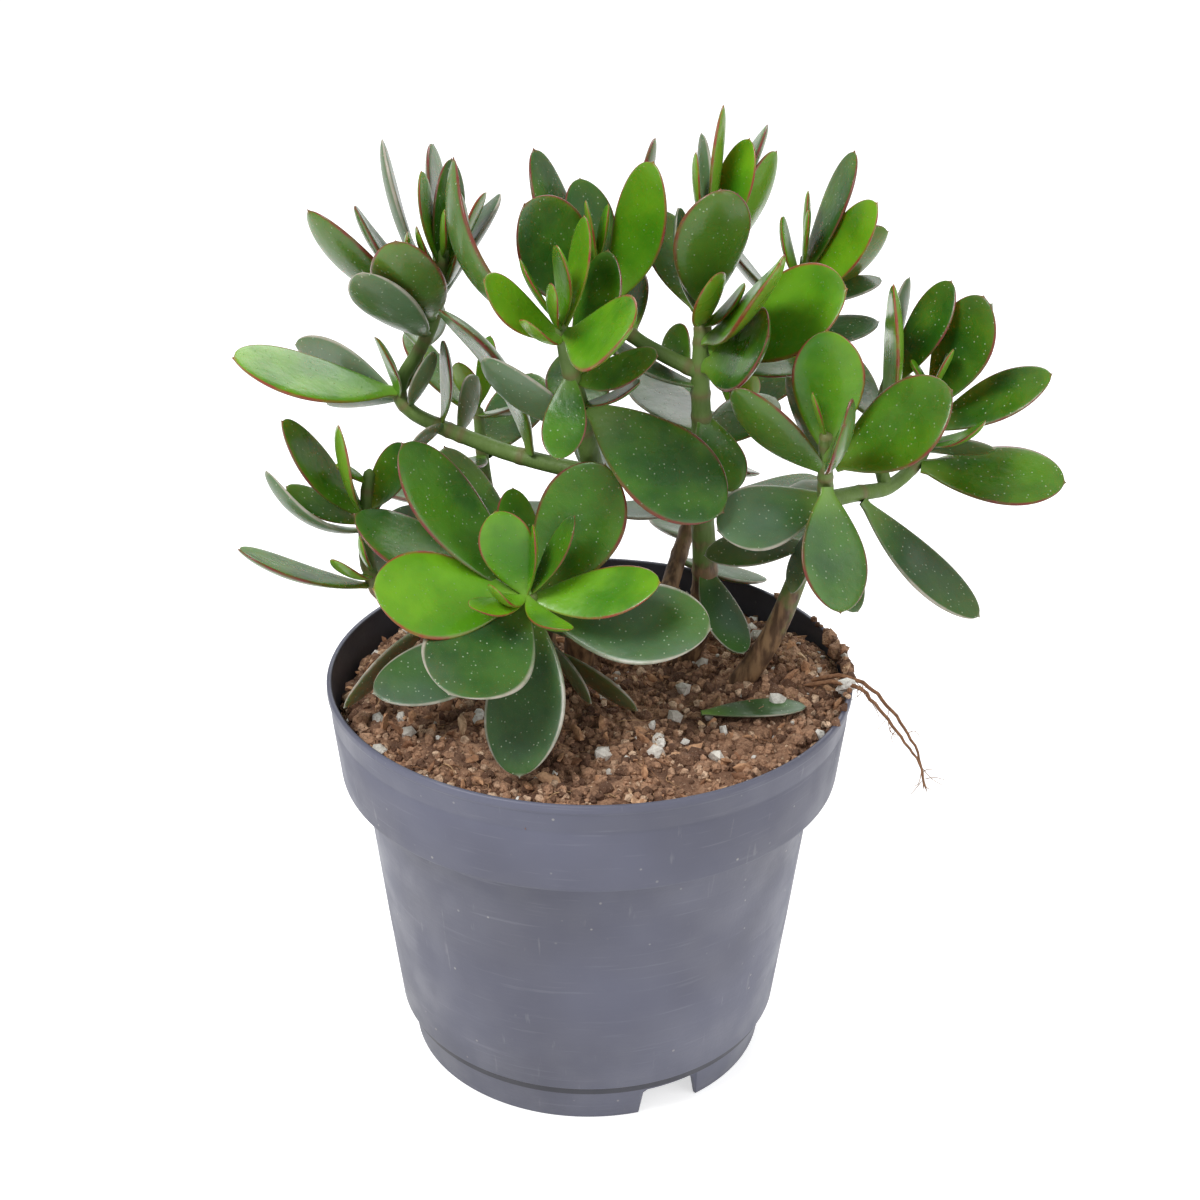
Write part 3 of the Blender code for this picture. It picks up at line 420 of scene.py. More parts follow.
class Leaf:
    """One leaf: its row in LEAVES, its seat on the shoot, and the attitude it is laid at."""

    def __init__(self, shoot: str, index: int, row: tuple, separate: bool) -> None:
        """Read the row and find the seat.

        Args:
            shoot: Name of the shoot that the leaf grows on.
            index: Place in the shoot's list, from 1.
            row: Height, turn, rise, length, width, roll, bow and age.
            separate: Whether the leaf is a node of its own.
        """
        self.shoot, self.name = shoot, f"leaf_{shoot}_{index:02d}"
        self.height, self.turn, self.rise, self.length, self.width, self.roll, self.bow, age = row
        self.age, self.separate, self.changes = Age(age), separate, (0, 0, 0)
        points, root_radius, tip_radius, _ = SHOOTS[shoot]
        self.seat, self.stem_ahead, share = along(points, self.height)
        self.stem_radius = root_radius + (tip_radius - root_radius) * share

    def axes(self, changes: tuple) -> tuple[np.ndarray, np.ndarray, np.ndarray, float]:
        """Base, heading, upper-face direction and length, with the given changes of roll, rise and turn."""
        d_roll, d_rise, d_turn = changes
        ahead = heading(self.turn + d_turn, self.rise + d_rise)
        sky = unit(self.stem_ahead + np.array([0, 0, UPWARD_PULL]))
        up = turned(unit(sky - sky.dot(ahead) * ahead), ahead, self.roll + d_roll)
        base, length = self.seat, self.length
        if self.separate:
            lean = ahead.dot(self.stem_ahead)
            away = unit(ahead - lean * self.stem_ahead)
            reach = self.stem_radius + GAP + 0.4 * leaf_thickness(self.width) * abs(lean)
            base, length = self.seat + away * reach, self.length - self.stem_radius
        return base, ahead, up, length

    def block(self, changes: tuple, extra: float = 0.0, neck: float = 0.0) -> Shape:
        """The leaf's plain solid, from a share of its length (neck) to its tip."""
        base, ahead, up, length = self.axes(changes)
        start = base + ahead * (neck * length)
        return leaf_block(start, ahead, up, length * (1 - neck), self.width, self.bow, extra,
                          not self.separate)


def leaf_rows() -> list[Leaf]:
    """Every leaf, with the largest ones marked as separate."""
    areas = sorted((row[3] * row[4] for rows in LEAVES.values() for row in rows), reverse=True)
    least = areas[SEPARATE_LEAVES - 1]
    leaves: list[Leaf] = []
    for shoot, rows in LEAVES.items():
        for index, row in enumerate(rows, 1):
            large = row[3] * row[4] >= least and sum(leaf.separate for leaf in leaves) < SEPARATE_LEAVES
            leaves.append(Leaf(shoot, index, row, large))
    return leaves


def clears(leaf: Leaf, change: tuple, near: list, stems: dict[str, BVHTree]) -> bool:
    """Whether a leaf at this attitude clears the stems, the soil and the leaves laid near it."""
    full, blade = tree(leaf.block(change, GAP)), tree(leaf.block(change, GAP, BLADE_START))
    if any(z < ground(x, y) for x, y, z in leaf.block(change)[0]):
        return False
    for name, stem in stems.items():
        if stem.overlap(blade if name == leaf.shoot and not leaf.separate else full):
            return False
    for other, _, _, other_full, other_blade in near:
        kin = other.shoot == leaf.shoot and not (other.separate or leaf.separate)
        if blade.overlap(other_blade) if kin else full.overlap(other_full):
            return False
    return True


def lay_leaves() -> list[Leaf]:
    """Lay each leaf in turn at the attitude nearest to its row that clears every piece before it.

    Returns:
        The leaves that found room, with their changes of attitude set.
    """
    stems = {name: tree(tube(rooted_route(name), *SHOOTS[name][1:3])) for name in SHOOTS}
    tries = itertools.product(ROLL_CHANGES, RISE_CHANGES, TURN_CHANGES)
    changes = sorted(tries, key=lambda c: (ROLL_EASE * abs(c[0]) + abs(c[1]) + abs(c[2])))
    laid: list[tuple] = []
    for leaf in leaf_rows():
        centre, radius = spread(leaf.block((0, 0, 0)))
        reach = radius + 0.35 * leaf.length
        near = [entry for entry in laid if np.linalg.norm(entry[1] - centre) < reach + entry[2]]
        found = next((c for c in changes if clears(leaf, c, near, stems)), None)
        if found is None:
            continue
        leaf.changes = found
        block = leaf.block(found)
        laid.append((leaf, *spread(block), tree(block), tree(leaf.block(found, 0.0, BLADE_START))))
    return [entry[0] for entry in laid]


# ---------------------------------------------------------------- meshes and materials

@dataclass
class Surface:
    """Points, faces and per-point values gathered for one object; points in millimetres."""

    points: list[np.ndarray] = field(default_factory=list)
    faces: list[np.ndarray] = field(default_factory=list)
    values: dict[str, list[np.ndarray]] = field(default_factory=dict)
    count: int = 0

    def add(self, points: np.ndarray, faces: np.ndarray, **values: np.ndarray) -> None:
        """Add one patch, with a value per point for each named attribute."""
        self.points.append(points)
        self.faces.append(np.asarray(faces) + self.count)
        self.count += len(points)
        for name, value in values.items():
            self.values.setdefault(name, []).append(np.broadcast_to(value, len(points)).astype(np.float32))

    def build(self, name: str, finish: bpy.types.Material, slot: str, nodes: list[str]) -> bpy.types.Object:
        """Make the object, ride it on the plant's one body and stand it for its CAD nodes."""
        mesh = bpy.data.meshes.new(name)
        faces = [face for patch in self.faces for face in patch.tolist()]
        mesh.from_pydata((np.vstack(self.points) * MM).tolist(), [], faces)
        for key, parts in self.values.items():
            layer = mesh.attributes.new(key, "FLOAT", "POINT")
            layer.data.foreach_set("value", np.concatenate(parts))
        mesh.materials.append(finish)
        mesh.shade_smooth()
        piece = bpy.data.objects.new(name, mesh)
        bpy.context.scene.collection.objects.link(piece)
        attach(piece, "root")
        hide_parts(*nodes)
        LOG.info("%s: %d points", name, self.count)
        return piece


def grid_faces(rows: int, sides: int) -> np.ndarray:
    """Quads of a grid that closes round its second direction: (row, k), (row + 1, k) and their neighbours."""
    row, k = np.meshgrid(np.arange(rows - 1), np.arange(sides), indexing="ij")
    nxt = (k + 1) % sides
    corners = (row * sides + k, (row + 1) * sides + k, (row + 1) * sides + nxt, row * sides + nxt)
    return np.stack(corners, axis=-1).reshape(-1, 4)


class Nodes:
    """Short hand for building one material's node tree."""

    def __init__(self, name: str) -> None:
        """Start a material with its Principled shader."""
        self.material = bpy.data.materials.new(name)
        self.material.use_nodes = True
        self.tree = self.material.node_tree
        self.shader = self.tree.nodes["Principled BSDF"]

    def add(self, kind: str, inputs: dict | None = None, **options: object) -> bpy.types.Node:
        """Add a node, set its options, and set or link its inputs."""
        node = self.tree.nodes.new(kind)
        for key, value in options.items():
            setattr(node, key, value)
        for key, value in (inputs or {}).items():
            self.put(node.inputs[key], value)
        return node

    def put(self, socket: bpy.types.NodeSocket, value: object) -> None:
        """Link an output socket to an input, or set the input's value."""
        if isinstance(value, bpy.types.NodeSocket):
            self.tree.links.new(value, socket)
        else:
            socket.default_value = value

    def attribute(self, name: str) -> bpy.types.NodeSocket:
        """A per-point value."""
        return self.add("ShaderNodeAttribute", attribute_name=name).outputs["Fac"]

    def place(self) -> bpy.types.NodeSocket:
        """Object coordinates, which are metres in the row frame."""
        return self.add("ShaderNodeTexCoord").outputs["Object"]

    def noise(self, scale: float, detail: float = 3.0, vector: object = None) -> bpy.types.NodeSocket:
        """Noise from 0 to 1 in object space; scale is cells per metre."""
        where = self.place() if vector is None else vector
        inputs = {"Vector": where, "Scale": scale, "Detail": detail}
        return self.add("ShaderNodeTexNoise", inputs).outputs["Fac"]

    def ramp(self, value: object, low: float, high: float, to_low: float = 0.0,
             to_high: float = 1.0) -> bpy.types.NodeSocket:
        """Map low..high to to_low..to_high with smooth ends."""
        inputs = {"Value": value, "From Min": low, "From Max": high, "To Min": to_low, "To Max": to_high}
        return self.add("ShaderNodeMapRange", inputs, interpolation_type="SMOOTHSTEP").outputs["Result"]

    def times(self, a: object, b: object) -> bpy.types.NodeSocket:
        """Product of two values."""
        return self.add("ShaderNodeMath", {0: a, 1: b}, operation="MULTIPLY").outputs[0]

    def mix(self, factor: object, a: object, b: object) -> bpy.types.NodeSocket:
        """Blend of two colours."""
        node = self.add("ShaderNodeMix", data_type="RGBA")
        self.put(node.inputs[0], factor)
        self.put(node.inputs[6], a)
        self.put(node.inputs[7], b)
        return node.outputs[2]

    def bump(self, height: object, distance: float, strength: float = 1.0,
             before: object = None) -> bpy.types.NodeSocket:
        """Bump of a height field; distance is in metres."""
        node = self.add("ShaderNodeBump", {"Height": height, "Distance": distance, "Strength": strength})
        if before is not None:
            self.put(node.inputs["Normal"], before)
        return node.outputs["Normal"]

    def finish(self, colour: object, roughness: object, normal: object = None,
               **constants: float) -> bpy.types.Material:
        """Wire the Principled shader."""
        self.put(self.shader.inputs["Base Color"], colour)
        self.put(self.shader.inputs["Roughness"], roughness)
        if normal is not None:
            self.put(self.shader.inputs["Normal"], normal)
        for key, value in constants.items():
            self.shader.inputs[key.replace("_", " ")].default_value = value
        return self.material


@dataclass(frozen=True)
class LeafFinish:
    """Waxy leaf skin: two greens that drift, a pale underside, a coloured margin and pale water dots."""

    name: str
    light: tuple
    dark: tuple
    under: tuple
    margin: tuple
    dots: float
    bloom: float
    gloss: float

    def material(self) -> bpy.types.Material:
        """Build the skin.

        Per-point values: rim (1 at the margin), face (1 above, -1 below), run (0 at the neck, 1 at the tip),
        tint (0 to 1, one per leaf), and mm_x, mm_y, the place on the blade in millimetres.
        """
        n = Nodes(self.name)
        drift = n.ramp(n.noise(55.0), 0.32, 0.68)
        body = n.mix(drift, self.light, self.dark)
        body = n.mix(n.ramp(n.attribute("tint"), 0.2, 1.2, 0.0, 0.5), body, self.dark)
        body = n.mix(n.ramp(n.attribute("tint"), 0.35, -0.2, 0.0, 0.5), body, self.light)
        body = n.mix(n.ramp(n.attribute("run"), 0.30, 0.0, 0.0, 0.65), body, linear(122, 160, 62))
        body = n.mix(n.ramp(n.attribute("face"), 0.2, -0.5, 0.0, 0.6), body, self.under)
        blade = n.add("ShaderNodeCombineXYZ", {"X": n.attribute("mm_x"), "Y": n.attribute("mm_y")}).outputs[0]
        cells = n.add("ShaderNodeTexVoronoi", {"Vector": blade, "Scale": 0.62, "Randomness": 0.8})
        dot = n.ramp(cells.outputs["Distance"], 0.19, 0.10)
        fine = n.add("ShaderNodeTexVoronoi", {"Vector": blade, "Scale": 1.7, "Randomness": 1.0})
        speck = n.times(n.ramp(fine.outputs["Distance"], 0.16, 0.06), 0.35)
        body = n.mix(n.times(dot, self.dots), body, linear(206, 222, 190))
        body = n.mix(n.times(speck, self.dots), body, linear(190, 208, 170))
        haze = n.times(n.ramp(n.noise(28.0, 2.0), 0.40, 0.72), self.bloom)
        body = n.mix(haze, body, linear(128, 152, 134))
        broken = n.ramp(n.noise(260.0, 2.0), 0.30, 0.62, 0.55, 1.0)
        reach = n.ramp(n.attribute("run"), 0.25, 0.6, 0.35, 1.0)
        edge = n.times(n.times(n.ramp(n.attribute("rim"), 0.90, 0.965), broken), reach)
        body = n.mix(edge, body, self.margin)
        body = n.mix(n.times(n.ramp(n.attribute("run"), 0.965, 1.0), 0.8), body, self.margin)
        rough = n.ramp(n.noise(90.0), 0.3, 0.7, self.gloss, self.gloss + 0.14)
        skin = n.bump(n.noise(420.0, 4.0), 0.00035, 0.5)
        skin = n.bump(dot, 0.00025, 0.6, skin)
        return n.finish(body, rough, skin, Specular_IOR_Level=0.34, Coat_Weight=0.16, Coat_Roughness=0.12,
                        Subsurface_Weight=0.06)


LEAF_FINISHES = {
    Age.YOUNG: LeafFinish("leaf_young", linear(104, 160, 26), linear(62, 122, 16), linear(118, 158, 52),
                          linear(140, 62, 44), 0.12, 0.0, 0.24),
    Age.MATURE: LeafFinish("leaf_mature", linear(72, 124, 20), linear(30, 78, 8), linear(80, 116, 44),
                           linear(112, 48, 42), 0.42, 0.05, 0.24),
    Age.OLD: LeafFinish("leaf_old", linear(64, 104, 44), linear(32, 70, 28), linear(86, 114, 72),
                        linear(166, 160, 146), 0.50, 0.34, 0.32),
}
LEAF_SLOTS = {Age.YOUNG: "young_leaf", Age.MATURE: "mature_leaf", Age.OLD: "old_leaf"}


@dataclass(frozen=True)
class StemFinish:
    """Stem skin: green where young, cracked grey-brown cork where old."""

    name: str = "stem_bark"

    def material(self) -> bpy.types.Material:
        """Build the skin; the value wood goes from 0, green, to 1, corky, and ring marks the leaf scars."""
        n = Nodes(self.name)
        green = n.mix(n.noise(160.0), linear(112, 138, 66), linear(82, 108, 46))
        streaks = n.add("ShaderNodeMapping", {"Vector": n.place(), "Scale": (1.0, 1.0, 0.25)}).outputs[0]
        cracks = n.ramp(n.noise(420.0, 5.0, streaks), 0.35, 0.65)
        cork = n.mix(cracks, linear(150, 118, 86), linear(84, 60, 42))
        patch = n.ramp(n.noise(120.0), 0.35, 0.65, -0.15, 0.15)
        wood = n.add("ShaderNodeMath", {0: n.attribute("wood"), 1: patch}, operation="ADD").outputs[0]
        body = n.mix(n.ramp(wood, 0.35, 0.65), green, cork)
        body = n.mix(n.times(n.attribute("ring"), 0.6), body, linear(120, 92, 66))
        relief = n.bump(n.noise(600.0, 5.0, streaks), 0.0006, 0.7)
        return n.finish(body, n.ramp(n.noise(200.0), 0.3, 0.7, 0.5, 0.7), relief)


@dataclass(frozen=True)
class CrumbFinish:
    """Loose soil: dark peat through reddish bark to pale dry flecks, by the per-point value shade."""

    name: str
    dark: tuple
    middle: tuple
    pale: tuple
    grain: float
    depth: float

    def material(self) -> bpy.types.Material:
        """Build the crumb surface."""
        n = Nodes(self.name)
        body = n.mix(n.ramp(n.attribute("shade"), 0.1, 0.6), self.dark, self.middle)
        body = n.mix(n.ramp(n.attribute("shade"), 0.7, 1.0), body, self.pale)
        body = n.mix(n.ramp(n.noise(self.grain, 5.0), 0.42, 0.62, 0.0, 0.55), body, self.dark)
        body = n.mix(n.ramp(n.noise(self.grain * 2.3, 3.0), 0.62, 0.74, 0.0, 0.5), body, self.pale)
        relief = n.bump(n.noise(self.grain * 1.6, 6.0), self.depth, 1.0)
        return n.finish(body, n.ramp(n.noise(self.grain), 0.3, 0.7, 0.82, 0.96), relief)


@dataclass(frozen=True)
class PotFinish:
    """Moulded slate-grey plastic: satin, with dust, faint turning lines, scuffs and pale specks."""

    name: str = "pot_plastic"

    def material(self) -> bpy.types.Material:
        """Build the plastic; per-point value inside is 1 on the inner wall, which gets a painted shade, near
        black, though it is the same plastic as the outside.
        """
        n = Nodes(self.name)
        body = n.mix(n.ramp(n.noise(14.0, 3.0), 0.3, 0.7), linear(86, 87, 102), linear(98, 100, 118))
        lines = n.add("ShaderNodeMapping", {"Vector": n.place(), "Scale": (0.25, 0.25, 5.0)}).outputs[0]
        body = n.mix(n.ramp(n.noise(160.0, 3.0, lines), 0.60, 0.75, 0.0, 0.16), body, linear(150, 150, 160))
        specks = n.add("ShaderNodeTexVoronoi", {"Vector": n.place(), "Scale": 170.0}).outputs["Distance"]
        some = n.ramp(n.noise(60.0), 0.46, 0.60)
        body = n.mix(n.times(n.times(n.ramp(specks, 0.10, 0.05), some), 0.6), body, linear(176, 172, 166))
        scuffs = n.add("ShaderNodeMapping", {"Vector": n.place(), "Scale": (3.0, 3.0, 0.35)}).outputs[0]
        body = n.mix(n.ramp(n.noise(120.0, 4.0, scuffs), 0.66, 0.76, 0.0, 0.22), body, linear(160, 158, 160))
        # Painted shade: the inner wall is mixed towards near black for the shade inside the pot; the plastic is
        # the same inside and out.
        body = n.mix(n.times(n.attribute("inside"), 0.75), body, linear(34, 33, 36))
        rough = n.ramp(n.noise(70.0), 0.3, 0.7, 0.40, 0.54)
        relief = n.bump(n.noise(900.0, 2.0), 0.00008, 0.5)
        relief = n.bump(n.noise(150.0, 2.0, lines), 0.0001, 0.4, relief)
        return n.finish(body, rough, relief, Specular_IOR_Level=0.45)


# ---------------------------------------------------------------- the sub-assemblies

@dataclass
class Foliage:
    """Stems and leaves."""

    leaf_rows: int = 34
    leaf_sides: int = 26
    stem_sides: int = 22
    ring_swell: float = 0.10
    ring_step: float = 4.0          # leaves nearer than this share a ring
    ring_width: float = 1.1
    stem_step: float = 1.1
    smoothing: int = 6              # passes that round the stem's bends
    inset: float = 0.02             # how far a large leaf's neck reaches back, over its length
    fullness: float = 0.52          # power that rounds the blade's outline
    broad: float = 1.08             # width over the plain solid's, which has a coarse edge
    woody_height: float = 78.0
    leaves: list[Leaf] = field(default_factory=list)

    def blade(self, leaf: Leaf, target: Surface, seed: int) -> None:
        """Add one leaf's fine surface.

        The point at (u, v) is the bowed midline at u, plus the side direction times the half width times
        cos v, plus the upper direction times the half thickness times a power of sin v. The margins stand up
        by the cup, the upper face is flatter than the lower, and the blade sways and twists a little.

        Args:
            leaf: The laid leaf.
            target: The surface that takes the patch.
            seed: Seed of the leaf's own small differences.
        """
        base, ahead, up, length = leaf.axes(leaf.changes)
        rng = np.random.default_rng(seed)
        sway, twist, wave, tint = rng.uniform(-1, 1, 4)
        side = np.cross(ahead, up)
        u = np.sin(np.linspace(0, math.pi / 2, self.leaf_rows))[:, None]
        v = np.linspace(0, 2 * math.pi, self.leaf_sides, endpoint=False)[None, :]
        open_width = np.sin(math.pi * np.minimum(u / 0.985, 1) ** LEAF_FULLEST).clip(0, 1) ** self.fullness
        neck = LEAF_NECK * 1.15 * np.sqrt(np.maximum(1 - u, 0))
        point = 0.20 * np.clip((1 - u) / 0.10, 0, 1) * (u > 0.5)
        share = (open_width**5 + neck**5 + point**5) ** 0.2 * self.broad
        half = leaf.width / 2 * share
        thick = leaf_thickness(leaf.width) / 2 * (0.5 + 0.5 * share) * np.sqrt(np.maximum(1 - u**14, 0))
        across, rise = np.cos(v), np.sin(v)
        lens = np.sign(rise) * np.abs(rise) ** 1.15 * np.where(rise > 0, 0.8, 1.0)
        cup = LEAF_CUP * 2.2 * half * across**2 + 0.03 * leaf.width * wave * np.sin(5 * u) * across * share
        lift = thick * lens + cup - leaf.bow * length * 4 * u * (1 - u)
        out = half * across + 0.025 * length * sway * np.sin(math.pi * u)
        turn = 0.12 * twist * u * share
        out, lift = out * np.cos(turn) - lift * np.sin(turn) * 0.3, lift + out * np.sin(turn)
        start = -self.inset if leaf.separate else 0.0
        where = base + ((u + start * (1 - u)) * length)[..., None] * ahead
        points = where + out[..., None] * side + lift[..., None] * up
        points[-1] = points[-1].mean(axis=0)
        rows, sides = self.leaf_rows, self.leaf_sides
        grid = points.reshape(-1, 3)
        faces = grid_faces(rows, sides)
        values = {
            "rim": np.abs(across) + 0 * u, "face": rise + 0 * u, "run": u + 0 * v,
            "mm_x": u * length + 0 * v, "mm_y": out + 40 * (rise < 0),
        }
        flat = {key: value.reshape(-1) for key, value in values.items()}
        target.add(grid, faces, tint=(tint + 1) / 2, **flat)

    def stem(self, shoot: str, target: Surface) -> None:
        """Add one stem: a round bar along its route that swells to a low ring at each pair of leaves."""
        points, root_radius, tip_radius, _ = SHOOTS[shoot]
        coarse = rooted_route(shoot)
        runs = np.concatenate([[0.0], np.cumsum(np.linalg.norm(np.diff(coarse, axis=0), axis=1))])
        s = np.linspace(0, runs[-1], max(12, int(runs[-1] / self.stem_step)))
        route = np.stack([np.interp(s, runs, coarse[:, k]) for k in range(3)], axis=-1)
        for _ in range(self.smoothing):
            route[1:-1] = (route[:-2] + 2 * route[1:-1] + route[2:]) / 4
        ahead = rows_unit(np.gradient(route, axis=0))
        side, cross = across_axes(ahead)
        share = s / runs[-1]
        down = ROOT_DEPTH if SHOOTS[shoot][3] is None else 0.0
        heights = np.unique([round(leaf.height / self.ring_step) * self.ring_step + down
                             for leaf in self.leaves if leaf.shoot == shoot])
        ring = np.exp(-((s[:, None] - heights[None, :]) / self.ring_width) ** 2).sum(axis=1).clip(0, 1)
        radius = (root_radius + (tip_radius - root_radius) * share) * (0.97 + self.ring_swell * ring)
        radius *= np.sqrt(np.clip((runs[-1] - s) / 1.5 + 0.12, 0, 1))
        v = np.linspace(0, 2 * math.pi, self.stem_sides, endpoint=False)[None, :]
        depth = (SOIL_LEVEL + self.woody_height - route[:, 2]) / self.woody_height
        wood = np.clip(depth, 0, 1) * (share < 0.9)
        radius = radius[:, None] * (1 + 0.05 * wood[:, None] * np.sin(3 * v + s[:, None] / 9))
        points = route[:, None] + radius[..., None] * (np.cos(v)[..., None] * side[:, None]
                                                       + np.sin(v)[..., None] * cross[:, None])
        ends = np.stack([route[0], route[-1] + ahead[-1] * 0.3])
        grid = np.vstack([points.reshape(-1, 3), ends])
        count, sides = len(s), self.stem_sides
        faces = grid_faces(count, sides)[:, ::-1]
        k = np.arange(sides)
        low, high = count * sides, count * sides + 1
        caps = np.stack([np.full(sides, low), (k + 1) % sides, k], axis=-1)
        last = (count - 1) * sides
        tips = np.stack([np.full(sides, high), last + k, last + (k + 1) % sides], axis=-1)
        values = [np.append(np.repeat(value, sides), value[[0, -1]]) for value in (wood, ring)]
        target.add(grid, faces, wood=values[0], ring=values[1])
        target.faces.append(np.vstack([caps, tips]) + target.count - len(grid))

    def build(self) -> None:
        """Lay the leaves, then make every stem, large leaf and group of small leaves."""
        self.leaves = lay_leaves()
        finishes = {age: finish.material() for age, finish in LEAF_FINISHES.items()}
        bark = StemFinish().material()
        for shoot in SHOOTS:
            surface = Surface()
            self.stem(shoot, surface)
            surface.build(f"stem_{shoot}", bark, "stem", [f"shoot_{shoot}"])
            for age in Age:
                small = [leaf for leaf in self.leaves
                         if leaf.shoot == shoot and leaf.age is age and not leaf.separate]
                surface = Surface()
                for leaf in small:
                    self.blade(leaf, surface, self.leaves.index(leaf) + 11)
                if small:
                    surface.build(f"small_leaves_{shoot}_{age.name.lower()}", finishes[age],
                                  LEAF_SLOTS[age], [f"shoot_{shoot}"])
        for leaf in (leaf for leaf in self.leaves if leaf.separate):
            surface = Surface()
            self.blade(leaf, surface, self.leaves.index(leaf) + 11)
            surface.build(f"skin_{leaf.name}", finishes[leaf.age], LEAF_SLOTS[leaf.age], [leaf.name])
        self.fallen(finishes[Age.OLD])

    def fallen(self, finish: bpy.types.Material) -> None:
        """The shed leaf that lies on the soil."""
        (x, y), turn, length, width = FALLEN_LEAF
        ahead = heading(turn, 0)
        rest = max(soil_height(*(np.array([x, y]) + ahead[:2] * s)) for s in (-length / 2, 0, length / 2))
        leaf = Leaf("front", 0, (0, turn, 0, length, width, 0, 0.0, "o"), False)
        leaf.seat = np.array([x, y, rest + leaf_thickness(width) / 2 + REST_GAP]) - ahead * length / 2
        leaf.stem_ahead = np.array([0.0, 0.0, 1.0])
        surface = Surface()
        self.blade(leaf, surface, 7)
        surface.build("skin_fallen_leaf", finish, "old_leaf", ["fallen_leaf"])


@dataclass
class Pot:
    """The nursery pot."""

    segments: int = 240
    notch_edge: float = 1.6

    def profile(self) -> np.ndarray:
        """Closed outline of (radius, height), outer foot to rim, over the lip and down the inside."""
        band = POT_HEIGHT - RIM_BAND_HEIGHT
        slope = (RIM_RADIUS - 0.4 - BAND_LOW_RADIUS) / (RIM_BAND_HEIGHT - 3.0)
        crease = POT_HEIGHT - 10.0
        crease_radius = BAND_LOW_RADIUS + slope * (crease - band)
        inner = RIM_RADIUS - POT_WALL
        floor = FLOOR_HEIGHT + FLOOR_THICKNESS
        ledge, foot_in = BODY_LOW_RADIUS - LEDGE_DEPTH, FOOT_RADIUS - POT_WALL
        low, top = BODY_LOW_RADIUS, BODY_TOP_RADIUS
        return np.array([
            (0.01, 0.0), (PAD_RADIUS - 0.4, 0.0), (PAD_RADIUS, 0.4), (PAD_RADIUS, FLOOR_HEIGHT),
            (foot_in, FLOOR_HEIGHT), (foot_in, 0.3), (foot_in + 0.3, 0.0),
            (FOOT_RADIUS - 0.4, 0.0), (FOOT_RADIUS, 0.4),
            (ledge, LEDGE_HEIGHT - 0.3), (ledge + 0.3, LEDGE_HEIGHT),
            (low - 0.5, LEDGE_HEIGHT), (low, LEDGE_HEIGHT + 0.5), (low + 4.0, LEDGE_HEIGHT + 33.0),
            (top - 0.4, band - 1.2), (top + 0.2, band - 0.2), (top + 0.8, band),
            (BAND_LOW_RADIUS - 0.7, band), (BAND_LOW_RADIUS - 0.1, band + 0.3),
            (BAND_LOW_RADIUS + 0.05, band + 1.0),
            (crease_radius - 0.03, crease - 0.8), (crease_radius - 0.28, crease),
            (crease_radius + 0.04, crease + 0.8),
            (RIM_RADIUS - 0.5, POT_HEIGHT - 3.3), (RIM_RADIUS - 0.42, POT_HEIGHT - 3.0),
            (RIM_RADIUS - 0.05, POT_HEIGHT - 2.6), (RIM_RADIUS, POT_HEIGHT - 2.2),
            (RIM_RADIUS, POT_HEIGHT - 0.6), (RIM_RADIUS - 0.2, POT_HEIGHT - 0.15),
            (RIM_RADIUS - 0.7, POT_HEIGHT), (inner + 0.5, POT_HEIGHT),
            (inner + 0.1, POT_HEIGHT - 0.2), (inner, POT_HEIGHT - 0.7),
            (BAND_LOW_RADIUS - POT_WALL, band + POT_WALL), (top - POT_WALL, band + POT_WALL - 4.0),
            (low - POT_WALL, floor), (0.01, floor),
        ])

    def build(self) -> None:
        """Turn the outline about the pot's axis, and lift the foot ring's lower edge in each drain notch."""
        outline = self.profile()
        turn = np.linspace(0, 2 * math.pi, self.segments, endpoint=False)[None, :]
        radius, height = outline[:, :1], outline[:, 1:]
        x, y = radius * np.cos(turn), radius * np.sin(turn)
        lift = np.zeros_like(turn)
        for notch in NOTCH_TURNS:
            away = np.abs((np.degrees(turn) - notch + 180) % 360 - 180) * math.pi / 180 * FOOT_RADIUS
            lift = np.maximum(lift, np.clip((NOTCH_WIDTH / 2 - away) / self.notch_edge + 0.5, 0, 1))
        foot = (radius > FOOT_RADIUS - POT_WALL - 1) & (height < 1.0)
        z = height + 0 * turn + foot * lift * (NOTCH_HEIGHT - height)
        points = np.stack([x, y, z], axis=-1).reshape(-1, 3)
        faces = grid_faces(len(outline), self.segments)[:, ::-1]
        # inside marks the inner wall, where the finish paints shade.
        inside = np.zeros(len(outline))
        inside[-6:] = 1.0
        surface = Surface()
        surface.add(points, faces, inside=np.repeat(inside, self.segments))
        pot = surface.build("moulded_pot", PotFinish().material(), "pot_plastic", ["pot"])
        pot.data.set_sharp_from_angle(angle=math.radians(55))


